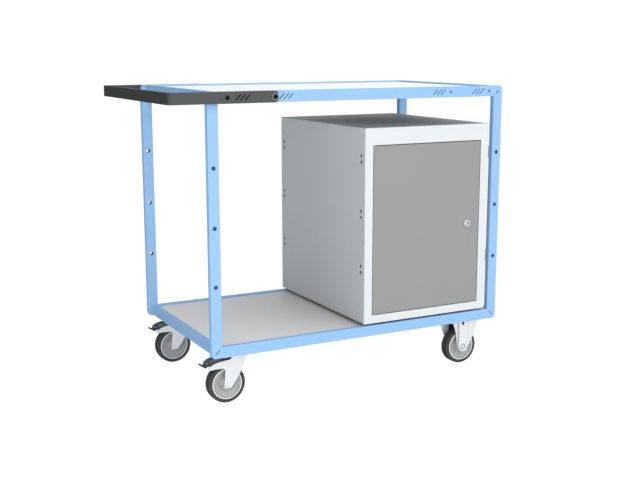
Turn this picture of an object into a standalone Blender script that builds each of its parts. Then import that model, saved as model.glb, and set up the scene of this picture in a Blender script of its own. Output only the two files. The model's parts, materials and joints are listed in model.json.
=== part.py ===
"""Mobile workbench: a tube trolley with a worktop, a lower shelf, a push handle,
a steel cabinet with one hinged door, two braked swivel casters and two fixed casters.

Metres, +Z up. The origin is on the floor, under the middle of the whole object.
The cabinet door faces -Y and the push handle points to -X.
"""

import math

import bmesh
import bpy
from mathutils import Matrix, Vector

# Fits
CLEARANCE = 0.0003
MITRE_GAP = 0.0003

# Trolley frame: two rings of flat tube, front and rear, joined by end rails
RING_LENGTH = 1.080
RING_HEIGHT = 0.816
FRAME_DEPTH = 0.617
TUBE_FACE = 0.0355
TUBE_DEPTH = 0.0175
TUBE_WALL = 0.002
RING_CORNER_RADIUS = 0.013
RING_CORNER_STEPS = 4
POST_HOLE_DIAMETER = 0.0105
POST_HOLE_FIRST = 0.226
POST_HOLE_PITCH = 0.182
POST_HOLE_COUNT = 3
HOLE_SIDES = 12

# Boards and the bearers under them
BOARD_RECESS = 0.0055
BOARD_EDGE = 0.001
WORKTOP_THICKNESS = 0.018
SHELF_THICKNESS = 0.012
WORKTOP_BEARER_WIDTH = 0.040
WORKTOP_BEARER_INSET = 0.300
BEARER_SHEET = 0.0025

# Push handle
HANDLE_REACH = 0.122
HANDLE_OVERLAP = 0.223
HANDLE_THICKNESS = 0.0137
HANDLE_HEIGHT = 0.037
HANDLE_BEND_RADIUS = 0.0165
HANDLE_BEND_STEPS = 6
HANDLE_END_RADIUS = 0.010
HANDLE_BOLT_INSET = 0.0105
HANDLE_BOLT_HEAD = 0.0245
HANDLE_BOLT_HEAD_HEIGHT = 0.0035
HANDLE_BOLT_SHANK = 0.008
HANDLE_BOLT_GRIP = 0.007

# Cabinet shell
CABINET_WIDTH = 0.4875
CABINET_POST_GAP = 0.0163
CABINET_RAIL_GAP = 0.0058
CABINET_HEADROOM = 0.091
CABINET_SHEET = 0.0015
CABINET_FOOT_WIDTH = 0.030
CABINET_FOOT_INSET = 0.060
STILE_HINGE_SIDE = 0.028
STILE_LOCK_SIDE = 0.0325
HEAD_STRIP = 0.0525
SILL_STRIP = 0.027
FRAME_RETURN = 0.020
SIDE_SLOT_INSET = 0.0245
SIDE_SLOT_WIDTH = 0.0036
SIDE_SLOT_HEIGHT = 0.009
SIDE_SLOT_PITCH = 0.021
INNER_SHELF_LIP = 0.020
INNER_SHELF_SETBACK = 0.050
INNER_SHELF_LEVEL = 1

# Brackets that tie the cabinet to the right-hand posts
BRACKET_HEIGHT = 0.039
BRACKET_SHEET = 0.0025
BRACKET_POST_LAP = 0.027
BRACKET_CABINET_LAP = 0.030

# Door and lock
DOOR_GAP = 0.0025
DOOR_RECESS = 0.001
DOOR_DEPTH = 0.018
DOOR_SHEET = 0.0012
HINGE_PIN_DIAMETER = 0.006
HINGE_PIN_FROM_EDGE = 0.008
HINGE_PIN_FROM_FACE = 0.0055
HINGE_PIN_IN_DOOR = 0.010
LOCK_FROM_EDGE = 0.0455
LOCK_ABOVE_SILL = 0.280
LOCK_BEZEL_DIAMETER = 0.027
LOCK_BEZEL_HEIGHT = 0.0035
LOCK_BARREL_DIAMETER = 0.019
LOCK_PLUG_DIAMETER = 0.012
LOCK_KEYWAY_WIDTH = 0.0018
LOCK_KEYWAY_LENGTH = 0.0075
LOCK_KEYWAY_DEPTH = 0.008
LOCK_CAM_THICKNESS = 0.0025
LOCK_CAM_WIDTH = 0.016
LOCK_CAM_OVERLAP = 0.012

# Casters
WHEEL_DIAMETER = 0.125
WHEEL_WIDTH = 0.034
WHEEL_SEGMENTS = 32
TYRE_THICKNESS = 0.0105
TYRE_SHOULDER = 0.005
RIM_BAND = 0.005
RIM_DISH = 0.004
HUB_DIAMETER = 0.036
HUB_SIDE_GAP = 0.0012
AXLE_DIAMETER = 0.012
AXLE_HEAD_DIAMETER = 0.020
AXLE_HEAD_HEIGHT = 0.006
CASTER_HEADROOM = 0.040
CASTER_END_INSET = 0.109
CASTER_SIDE_INSET = 0.066
CASTER_TRAIL = 0.0392
PLATE_LENGTH = 0.124
PLATE_WIDTH = 0.085
PLATE_THICKNESS = 0.004
CASTER_BEARER_MARGIN = 0.008
RACE_RADIUS = 0.028
RACE_HEIGHT = 0.009
KINGPIN_RADIUS = 0.006
KINGPIN_NUT_RADIUS = 0.010
KINGPIN_NUT_HEIGHT = 0.007
FORK_SHEET = 0.003
FORK_SIDE_GAP = 0.0035
FORK_TIP_DROP = 0.013
FORK_TIP_HALF_WIDTH = 0.013
FORK_CROWN_MARGIN = 0.006
FORK_ARM_REACH = 0.0645
FIXED_LEG_SHORT_TOP = 0.042
FIXED_LEG_LONG_TOP = 0.060
FIXED_LEG_TIP_RADIUS = 0.020
FIXED_LEG_TIP_STEPS = 6
PEDAL_WIDTH = 0.034
PEDAL_REACH = 0.075
PEDAL_TAB_REACH = 0.088
PEDAL_TAB_THICKNESS = 0.003
PEDAL_PIVOT_OFFSET = 0.008
PEDAL_PIVOT_RISE = 0.0085
PEDAL_PIN_DIAMETER = 0.006

# Levels and faces worked out from the sizes above
WHEEL_RADIUS = WHEEL_DIAMETER / 2
CASTER_HEIGHT = WHEEL_DIAMETER + CASTER_HEADROOM
BASE = CASTER_HEIGHT
TOP = BASE + RING_HEIGHT
LEFT = HANDLE_REACH - (RING_LENGTH + HANDLE_REACH) / 2
RIGHT = LEFT + RING_LENGTH
FRONT = -FRAME_DEPTH / 2
REAR = FRAME_DEPTH / 2
RING_INNER_FRONT = FRONT + TUBE_DEPTH
RING_INNER_REAR = REAR - TUBE_DEPTH
BAY_LEFT = LEFT + TUBE_FACE
BAY_RIGHT = RIGHT - TUBE_FACE
WORKTOP_TOP = TOP - BOARD_RECESS
WORKTOP_UNDER = WORKTOP_TOP - WORKTOP_THICKNESS
SHELF_TOP = BASE + TUBE_FACE - BOARD_RECESS
SHELF_UNDER = SHELF_TOP - SHELF_THICKNESS
POST_HOLE_LEVELS = [BASE + POST_HOLE_FIRST + POST_HOLE_PITCH * i for i in range(POST_HOLE_COUNT)]

CABINET_RIGHT = BAY_RIGHT - CABINET_POST_GAP
CABINET_LEFT = CABINET_RIGHT - CABINET_WIDTH
CABINET_LOW = BASE + TUBE_FACE + CABINET_RAIL_GAP
CABINET_HIGH = TOP - TUBE_FACE - CABINET_HEADROOM
APERTURE_LEFT = CABINET_LEFT + STILE_HINGE_SIDE
APERTURE_RIGHT = CABINET_RIGHT - STILE_LOCK_SIDE
APERTURE_LOW = CABINET_LOW + SILL_STRIP
APERTURE_HIGH = CABINET_HIGH - HEAD_STRIP
DOOR_LEFT = APERTURE_LEFT + DOOR_GAP
DOOR_RIGHT = APERTURE_RIGHT - DOOR_GAP
DOOR_LOW = APERTURE_LOW + DOOR_GAP
DOOR_HIGH = APERTURE_HIGH - DOOR_GAP
DOOR_FACE = FRONT + DOOR_RECESS
HINGE_AXIS = Vector((DOOR_LEFT + HINGE_PIN_FROM_EDGE, DOOR_FACE + HINGE_PIN_FROM_FACE, DOOR_LOW))
LOCK_AXIS = Vector((DOOR_RIGHT - LOCK_FROM_EDGE, DOOR_FACE, DOOR_LOW + LOCK_ABOVE_SILL))

FORK_INNER = WHEEL_WIDTH / 2 + FORK_SIDE_GAP
FORK_OUTER = FORK_INNER + FORK_SHEET
PLATE_TOP = BASE - CLEARANCE
PLATE_UNDER = PLATE_TOP - PLATE_THICKNESS
CROWN_TOP = PLATE_UNDER - RACE_HEIGHT
CROWN_UNDER = CROWN_TOP - FORK_SHEET
CASTER_X_LEFT = LEFT + CASTER_END_INSET
CASTER_X_RIGHT = RIGHT - CASTER_END_INSET
CASTER_Y = {"front": FRONT + CASTER_SIDE_INSET, "rear": REAR - CASTER_SIDE_INSET}

# Finishes: colour, roughness and metallic value
FINISHES = {
    "blue_paint": ((0.36, 0.64, 0.99), 0.40, 0.0),
    "dark_paint": ((0.12, 0.125, 0.13), 0.45, 0.0),
    "white_paint": ((0.85, 0.89, 0.90), 0.40, 0.0),
    "grey_paint": ((0.36, 0.385, 0.375), 0.42, 0.0),
    "side_paint": ((0.55, 0.57, 0.57), 0.42, 0.0),
    "white_board": ((0.88, 0.92, 0.91), 0.35, 0.0),
    "grey_board": ((0.55, 0.56, 0.57), 0.45, 0.0),
    "zinc": ((0.76, 0.79, 0.79), 0.35, 0.8),
    "rubber": ((0.055, 0.055, 0.055), 0.75, 0.0),
    "wheel_plastic": ((0.38, 0.39, 0.39), 0.50, 0.0),
    "black_plastic": ((0.025, 0.03, 0.032), 0.50, 0.0),
    "nickel": ((0.70, 0.70, 0.68), 0.25, 1.0),
}


def clear_scene():
    """Remove every object of the open file."""
    for thing in list(bpy.data.objects):
        bpy.data.objects.remove(thing, do_unlink=True)


def finish(name):
    """The material of that name, made on first use."""
    found = bpy.data.materials.get(name)
    if found:
        return found
    colour, roughness, metallic = FINISHES[name]
    made = bpy.data.materials.new(name)
    made.use_nodes = True
    shader = made.node_tree.nodes["Principled BSDF"]
    shader.inputs["Base Color"].default_value = (*colour, 1.0)
    shader.inputs["Roughness"].default_value = roughness
    shader.inputs["Metallic"].default_value = metallic
    made.diffuse_color = (*colour, 1.0)
    return made


def pivot(name, place, parent=None):
    """An empty on a joint's axis; parent is another empty."""
    empty = bpy.data.objects.new(name, None)
    empty.empty_display_size = 0.03
    bpy.context.collection.objects.link(empty)
    hang(empty, place, parent)
    return empty


def hang(thing, place, parent):
    """Put thing at a world place, under a parent that is only shifted, never turned."""
    thing["world_place"] = list(place)
    thing.parent = parent
    thing.location = Vector(place) - (Vector(parent["world_place"]) if parent else Vector())


def piece(name, bm, colour, parent=None, smooth=False):
    """Close a bmesh into a named object whose origin lies on its parent empty."""
    bmesh.ops.remove_doubles(bm, verts=bm.verts, dist=1e-6)
    bmesh.ops.recalc_face_normals(bm, faces=bm.faces)
    place = Vector(parent["world_place"]) if parent else Vector()
    bmesh.ops.translate(bm, verts=bm.verts, vec=-place)
    mesh = bpy.data.meshes.new(name)
    bm.to_mesh(mesh)
    bm.free()
    thing = bpy.data.objects.new(name, mesh)
    bpy.context.collection.objects.link(thing)
    if colour:
        mesh.materials.append(finish(colour))
    if smooth:
        mesh.shade_smooth()
        mesh.set_sharp_from_angle(angle=math.radians(35))
    hang(thing, place, parent)
    return thing


def place_on(axis, first, second, along):
    """A point from its two plane coordinates and its place along an axis."""
    if axis == "X":
        return Vector((along, first, second))
    if axis == "Y":
        return Vector((first, along, second))
    return Vector((first, second, along))


def prism(axis, outline, start, end, bm=None):
    """Extrude a flat outline along an axis; the outline is XZ for Y, YZ for X and XY for Z."""
    bm = bm or bmesh.new()
    corners = [bm.verts.new(place_on(axis, a, b, start)) for a, b in outline]
    cap = bm.faces.new(corners)
    grown = bmesh.ops.extrude_face_region(bm, geom=[cap])
    moved = [part for part in grown["geom"] if isinstance(part, bmesh.types.BMVert)]
    bmesh.ops.translate(bm, verts=moved, vec=place_on(axis, 0, 0, end - start))
    return bm


def block(low, high, bm=None):
    """A box between two corners."""
    outline = [(low[0], low[1]), (high[0], low[1]), (high[0], high[1]), (low[0], high[1])]
    return prism("Z", outline, low[2], high[2], bm)


def turned(profile, place, axis, segments, closed):
    """Spin a profile of (radius, along) points about an axis through place."""
    bm = bmesh.new()
    points = [bm.verts.new((radius, 0, along)) for radius, along in profile]
    edges = [bm.edges.new(pair) for pair in zip(points, points[1:])]
    if closed:
        edges.append(bm.edges.new((points[-1], points[0])))
    bmesh.ops.spin(bm, geom=points + edges, cent=(0, 0, 0), axis=(0, 0, 1),
                   angle=math.tau, steps=segments, use_merge=True)
    turn = Vector((0, 0, 1)).rotation_difference(Vector(axis)).to_matrix().to_4x4()
    bmesh.ops.remove_doubles(bm, verts=bm.verts, dist=1e-6)
    bmesh.ops.transform(bm, matrix=Matrix.Translation(place) @ turn, verts=bm.verts)
    return bm


def rod(place, axis, radius, start, end, sides=HOLE_SIDES):
    """A round bar along an axis, from start to end measured from place."""
    return turned([(0, start), (radius, start), (radius, end), (0, end)], place, axis, sides, False)


def tool(name, bm):
    """A helper solid that only cuts or joins another piece."""
    helper = piece(name, bm, None)
    helper.hide_render = True
    helper.display_type = "WIRE"
    return helper


def combine(target, helper, operation):
    """Cut a helper from a piece, or join it on."""
    modifier = target.modifiers.new(operation.lower(), "BOOLEAN")
    modifier.operation = operation
    modifier.solver = "EXACT"
    modifier.object = helper


def cut(target, name, bm):
    """Cut the solid in a bmesh out of a piece."""
    combine(target, tool(name, bm), "DIFFERENCE")


def join(target, name, bm):
    """Weld the solid in a bmesh onto a piece."""
    combine(target, tool(name, bm), "UNION")


def hole_radius(diameter):
    """Radius of a faceted hole whose flats clear a round bar of that diameter."""
    return diameter / 2 / math.cos(math.pi / HOLE_SIDES) + CLEARANCE


def side_outline(length, width, inset, mitre_shift):
    """One side of a ring, from mitre to mitre: u runs along it, v from its outer edge inwards."""
    radius = RING_CORNER_RADIUS
    bend = radius - inset
    near = []
    for step in range(RING_CORNER_STEPS + 1):
        angle = math.radians(225 + 45 * step / RING_CORNER_STEPS)
        shift = mitre_shift if step == 0 else 0
        near.append((radius + bend * math.cos(angle) + shift, radius + bend * math.sin(angle)))
    inner = width - inset
    far = [(length - u, v) for u, v in reversed(near)]
    return near + far + [(length - inner - mitre_shift, inner), (inner + mitre_shift, inner)]


def ring_side(name, side, face, helper_name):
    """A hollow tube of a ring; face is the lowest Y of the ring."""
    upright = side in ("left", "right")
    length = RING_HEIGHT if upright else RING_LENGTH
    gap = MITRE_GAP * math.sqrt(2) if upright else 0

    def outline(inset, mitre_shift):
        flat = side_outline(length, TUBE_FACE, inset, mitre_shift)
        if side == "left":
            return [(LEFT + v, BASE + u) for u, v in flat]
        if side == "right":
            return [(RIGHT - v, BASE + u) for u, v in flat]
        if side == "bottom":
            return [(LEFT + u, BASE + v) for u, v in flat]
        return [(LEFT + u, TOP - v) for u, v in flat]

    tube = piece(name, prism("Y", outline(0, gap), face, face + TUBE_DEPTH), "blue_paint")
    hollow = prism("Y", outline(TUBE_WALL, -TUBE_WALL), face + TUBE_WALL, face + TUBE_DEPTH - TUBE_WALL)
    cut(tube, helper_name + "_hollow", hollow)
    if upright:
        middle = LEFT + TUBE_FACE / 2 if side == "left" else RIGHT - TUBE_FACE / 2
        holes = bmesh.new()
        for level in POST_HOLE_LEVELS:
            drill = rod((middle, face, level), (0, 1, 0), POST_HOLE_DIAMETER / 2,
                        -TUBE_WALL, TUBE_DEPTH + TUBE_WALL)
            absorb(holes, drill)
        cut(tube, helper_name + "_holes", holes)
    return tube


def absorb(bm, other):
    """Copy another bmesh into bm."""
    carrier = bpy.data.meshes.new("carrier")
    other.to_mesh(carrier)
    other.free()
    bm.from_mesh(carrier)
    bpy.data.meshes.remove(carrier)


def make_rings():
    """The front and the rear ring, each as two posts and two rails with mitred corners."""
    tubes = {}
    for place, face in (("front", FRONT), ("rear", RING_INNER_REAR)):
        for side in ("left", "right", "bottom", "top"):
            kind = "post" if side in ("left", "right") else "rail"
            name = f"{place}_{side}_{kind}"
            tubes[name] = ring_side(name, side, face, "cut_" + name)
    return tubes


def make_end_rails():
    """Hollow rails that join the rings at both ends, top and bottom."""
    low_y = RING_INNER_FRONT + CLEARANCE
    high_y = RING_INNER_REAR - CLEARANCE
    for side, low_x in (("left", BAY_LEFT - TUBE_DEPTH), ("right", BAY_RIGHT)):
        for level, low_z in (("lower", BASE), ("upper", TOP - TUBE_FACE)):
            high_x = low_x + TUBE_DEPTH
            high_z = low_z + TUBE_FACE
            name = f"{side}_{level}_end_rail"
            rail = piece(name, block((low_x, low_y, low_z), (high_x, high_y, high_z)), "blue_paint")
            wall = TUBE_WALL
            bore = block((low_x + wall, low_y - wall, low_z + wall),
                         (high_x - wall, high_y + wall, high_z - wall))
            cut(rail, f"cut_{name}", bore)


def board(name, low_z, high_z, colour):
    """A board inside the four rails, with its top edges broken."""
    low = (BAY_LEFT + CLEARANCE, RING_INNER_FRONT + CLEARANCE, low_z)
    high = (BAY_RIGHT - CLEARANCE, RING_INNER_REAR - CLEARANCE, high_z)
    bm = block(low, high)
    rim = [edge for edge in bm.edges if all(abs(v.co.z - high_z) < 1e-6 for v in edge.verts)]
    bmesh.ops.bevel(bm, geom=rim, offset=BOARD_EDGE, segments=1, affect="EDGES", profile=0.5, material=-1)
    return piece(name, bm, colour)


def make_boards():
    """The worktop, the lower shelf and the folded channels that carry them."""
    board("worktop", WORKTOP_UNDER, WORKTOP_TOP, "white_board")
    board("lower_shelf", SHELF_UNDER, SHELF_TOP, "grey_board")
    low_y = RING_INNER_FRONT + CLEARANCE
    high_y = RING_INNER_REAR - CLEARANCE
    for side, middle in (("left", LEFT + WORKTOP_BEARER_INSET), ("right", RIGHT - WORKTOP_BEARER_INSET)):
        half = WORKTOP_BEARER_WIDTH / 2
        outline = channel(middle - half, middle + half, TOP - TUBE_FACE, WORKTOP_UNDER - CLEARANCE)
        piece(f"{side}_worktop_bearer", prism("Y", outline, low_y, high_y), "blue_paint")
    reach = PLATE_LENGTH / 2 + CASTER_BEARER_MARGIN
    spans = {"left": (BAY_LEFT + CLEARANCE, CASTER_X_LEFT + reach),
             "right": (CASTER_X_RIGHT - reach, BAY_RIGHT - CLEARANCE)}
    for side, (low_x, high_x) in spans.items():
        outline = channel(low_x, high_x, BASE, SHELF_UNDER - CLEARANCE)
        piece(f"{side}_caster_bearer", prism("Y", outline, low_y, high_y), "blue_paint")


def channel(left, right, low, high):
    """Section of a folded channel, open at its top."""
    wall = BEARER_SHEET
    return [(left, low), (right, low), (right, high), (right - wall, high), (right - wall, low + wall),
            (left + wall, low + wall), (left + wall, high), (left, high)]


def arc(centre, radius, start_deg, end_deg, steps):
    """Points along an arc, both ends included."""
    angles = [math.radians(start_deg + (end_deg - start_deg) * i / steps) for i in range(steps + 1)]
    return [(centre[0] + radius * math.cos(a), centre[1] + radius * math.sin(a)) for a in angles]


def make_handle(tubes):
    """The U-shaped push handle outside the top rails, with a bolt at the end of each leg."""
    outer_x = LEFT - HANDLE_REACH
    end_x = LEFT + HANDLE_OVERLAP
    inner_front = FRONT - CLEARANCE
    inner_rear = REAR + CLEARANCE
    outer_front = inner_front - HANDLE_THICKNESS
    outer_rear = inner_rear + HANDLE_THICKNESS
    inner_x = outer_x + HANDLE_THICKNESS
    bend = HANDLE_BEND_RADIUS
    inside = bend - HANDLE_THICKNESS
    steps = HANDLE_BEND_STEPS
    front_centre = (outer_x + bend, outer_front + bend)
    rear_centre = (outer_x + bend, outer_rear - bend)
    outline = [(end_x, outer_front)]
    outline += arc(front_centre, bend, 270, 180, steps)
    outline += arc(rear_centre, bend, 180, 90, steps)
    outline += [(end_x, outer_rear), (end_x, inner_rear)]
    outline += arc(rear_centre, inside, 90, 180, steps)
    outline += arc(front_centre, inside, 180, 270, steps)
    outline += [(end_x, inner_front)]
    low_z = TOP - TUBE_FACE
    bm = prism("Z", outline, low_z, low_z + HANDLE_HEIGHT)
    leg_ends = [edge for edge in bm.edges
                if all(abs(v.co.x - end_x) < 1e-6 for v in edge.verts)
                and abs(edge.verts[0].co.y - edge.verts[1].co.y) > HANDLE_THICKNESS / 2]
    bmesh.ops.bevel(bm, geom=leg_ends, offset=HANDLE_END_RADIUS, segments=4, affect="EDGES",
                    profile=0.5, material=-1)
    handle = piece("push_handle", bm, "dark_paint")
    bolt_x = end_x - HANDLE_BOLT_INSET
    bolt_z = low_z + TUBE_FACE / 2
    radius = hole_radius(HANDLE_BOLT_SHANK)
    reach = HANDLE_THICKNESS + HANDLE_BOLT_GRIP
    spot = (bolt_x, 0, bolt_z)
    drill = rod(spot, (0, 1, 0), radius, outer_front - reach, inner_front + TUBE_WALL + reach)
    absorb(drill, rod(spot, (0, 1, 0), radius, inner_rear - TUBE_WALL - reach, outer_rear + reach))
    drill_tool = tool("cut_handle_bolts", drill)
    for target in (handle, tubes["front_top_rail"], tubes["rear_top_rail"]):
        combine(target, drill_tool, "DIFFERENCE")
    shank = HANDLE_BOLT_SHANK / 2
    head = HANDLE_BOLT_HEAD / 2
    tip = HANDLE_THICKNESS + HANDLE_BOLT_GRIP
    profile = [(0, -HANDLE_BOLT_HEAD_HEIGHT), (head * 0.8, -HANDLE_BOLT_HEAD_HEIGHT), (head, -CLEARANCE * 4),
               (head, -CLEARANCE), (shank, -CLEARANCE), (shank, tip), (0, tip)]
    piece("front_handle_bolt", turned(profile, (bolt_x, outer_front, bolt_z), (0, 1, 0), 16, False), "zinc")
    piece("rear_handle_bolt", turned(profile, (bolt_x, outer_rear, bolt_z), (0, -1, 0), 16, False), "zinc")


def loops(rectangles, closed):
    """Skin a row of (x0, x1, z0, z1, y) rectangles into a solid; closed joins the last to the first."""
    bm = bmesh.new()
    rings = []
    for x0, x1, z0, z1, y in rectangles:
        corners = [(x0, z0), (x1, z0), (x1, z1), (x0, z1)]
        rings.append([bm.verts.new((x, y, z)) for x, z in corners])
    pairs = list(zip(rings, rings[1:]))
    if closed:
        pairs.append((rings[-1], rings[0]))
    for one, two in pairs:
        for i in range(4):
            j = (i + 1) % 4
            bm.faces.new((one[i], one[j], two[j], two[i]))
    if not closed:
        bm.faces.new(rings[0])
        bm.faces.new(rings[-1])
    return bm


def make_cabinet():
    """The sheet-steel cabinet: face frame, sides, top, base, back and one inner shelf."""
    sheet = CABINET_SHEET
    aperture = (APERTURE_LEFT, APERTURE_RIGHT, APERTURE_LOW, APERTURE_HIGH)
    collar = (APERTURE_LEFT - sheet, APERTURE_RIGHT + sheet, APERTURE_LOW - sheet, APERTURE_HIGH + sheet)
    outside = (CABINET_LEFT, CABINET_RIGHT, CABINET_LOW, CABINET_HIGH)
    section = [(*outside, FRONT), (*aperture, FRONT), (*aperture, FRONT + FRAME_RETURN),
               (*collar, FRONT + FRAME_RETURN), (*collar, FRONT + sheet), (*outside, FRONT + sheet)]
    face_frame = piece("cabinet_face_frame", loops(section, True), "white_paint")
    pin_holes = rod((HINGE_AXIS.x, HINGE_AXIS.y, 0), (0, 0, 1), hole_radius(HINGE_PIN_DIAMETER),
                    APERTURE_LOW - 2 * sheet, APERTURE_HIGH + 2 * sheet)
    cut(face_frame, "cut_face_frame_pins", pin_holes)
    front = FRONT + sheet + CLEARANCE
    rear = REAR - sheet - CLEARANCE
    gap = CLEARANCE
    back = block((CABINET_LEFT, REAR - sheet, CABINET_LOW), (CABINET_RIGHT, REAR, CABINET_HIGH))
    piece("cabinet_back", back, "side_paint")
    roof = block((CABINET_LEFT, front, CABINET_HIGH - sheet), (CABINET_RIGHT, rear, CABINET_HIGH))
    piece("cabinet_top", roof, "side_paint")
    foot_low = SHELF_TOP + CLEARANCE
    foot_front = RING_INNER_FRONT + CABINET_FOOT_INSET
    foot_rear = RING_INNER_REAR - CABINET_FOOT_INSET
    width = CABINET_FOOT_WIDTH
    floor_high = CABINET_LOW + sheet
    base = [(front, CABINET_LOW), (foot_front, CABINET_LOW), (foot_front, foot_low),
            (foot_front + width, foot_low), (foot_front + width, CABINET_LOW),
            (foot_rear - width, CABINET_LOW), (foot_rear - width, foot_low),
            (foot_rear, foot_low), (foot_rear, CABINET_LOW), (rear, CABINET_LOW), (rear, floor_high),
            (front, floor_high)]
    piece("cabinet_base", prism("X", base, CABINET_LEFT, CABINET_RIGHT), "side_paint")
    slots = bmesh.new()
    for level in POST_HOLE_LEVELS:
        for offset in (-SIDE_SLOT_PITCH / 2, SIDE_SLOT_PITCH / 2):
            for y in (FRONT + SIDE_SLOT_INSET, REAR - SIDE_SLOT_INSET):
                low = (CABINET_LEFT - sheet, y - SIDE_SLOT_WIDTH / 2, level + offset - SIDE_SLOT_HEIGHT / 2)
                high = (CABINET_RIGHT + sheet, y + SIDE_SLOT_WIDTH / 2, level + offset + SIDE_SLOT_HEIGHT / 2)
                block(low, high, slots)
    slot_tool = tool("cut_side_slots", slots)
    for side, low_x in (("left", CABINET_LEFT), ("right", CABINET_RIGHT - sheet)):
        low = (low_x, front, floor_high + gap)
        high = (low_x + sheet, rear, CABINET_HIGH - sheet - gap)
        panel = piece(f"cabinet_{side}_side", block(low, high), "side_paint")
        combine(panel, slot_tool, "DIFFERENCE")
    make_inner_shelf()


def make_inner_shelf():
    """A folded shelf whose four hooks sit in the upper slot of a pair."""
    sheet = CABINET_SHEET
    level = POST_HOLE_LEVELS[INNER_SHELF_LEVEL] + SIDE_SLOT_PITCH / 2
    left = CABINET_LEFT + sheet + CLEARANCE
    right = CABINET_RIGHT - sheet - CLEARANCE
    front = FRONT + INNER_SHELF_SETBACK
    rear = REAR - INNER_SHELF_SETBACK
    lip = level - INNER_SHELF_LIP
    tray = [(front, lip), (front + sheet, lip), (front + sheet, level - sheet), (rear - sheet, level - sheet),
            (rear - sheet, lip), (rear, lip), (rear, level), (front, level)]
    shelf = piece("cabinet_inner_shelf", prism("X", tray, left, right), "side_paint")
    hook = SIDE_SLOT_WIDTH / 2 - CLEARANCE
    rise = SIDE_SLOT_HEIGHT / 2 - CLEARANCE
    hooks = bmesh.new()
    ends = ((FRONT + SIDE_SLOT_INSET, front + sheet / 2, 1), (REAR - SIDE_SLOT_INSET, rear - sheet / 2, -1))
    for y, edge, inward in ends:
        outer = y - inward * hook
        inner = y + inward * hook
        for wall, face, inside in ((CABINET_LEFT, left, left + sheet), (CABINET_RIGHT, right, right - sheet)):
            outline = [(wall, outer), (inside, outer), (inside, edge), (face, edge), (face, inner),
                       (wall, inner)]
            prism("Z", outline, level - rise, level - sheet / 2, hooks)
    join(shelf, "join_shelf_hooks", hooks)


def make_brackets():
    """Angle brackets behind the right-hand posts, at the highest and the lowest post hole."""
    cabinet = CABINET_RIGHT + CLEARANCE
    sheet = BRACKET_SHEET
    reach = BAY_RIGHT + BRACKET_POST_LAP
    half = BRACKET_HEIGHT / 2
    levels = {"upper": POST_HOLE_LEVELS[-1], "lower": POST_HOLE_LEVELS[0]}
    for place, face, inward in (("front", RING_INNER_FRONT, 1), ("rear", RING_INNER_REAR, -1)):
        near = face + inward * CLEARANCE
        back = near + inward * sheet
        lap = near + inward * BRACKET_CABINET_LAP
        outline = [(cabinet, near), (reach, near), (reach, back), (cabinet + sheet, back),
                   (cabinet + sheet, lap), (cabinet, lap)]
        for level, middle in levels.items():
            bm = prism("Z", outline, middle - half, middle + half)
            piece(f"{place}_{level}_bracket", bm, "side_paint")


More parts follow.
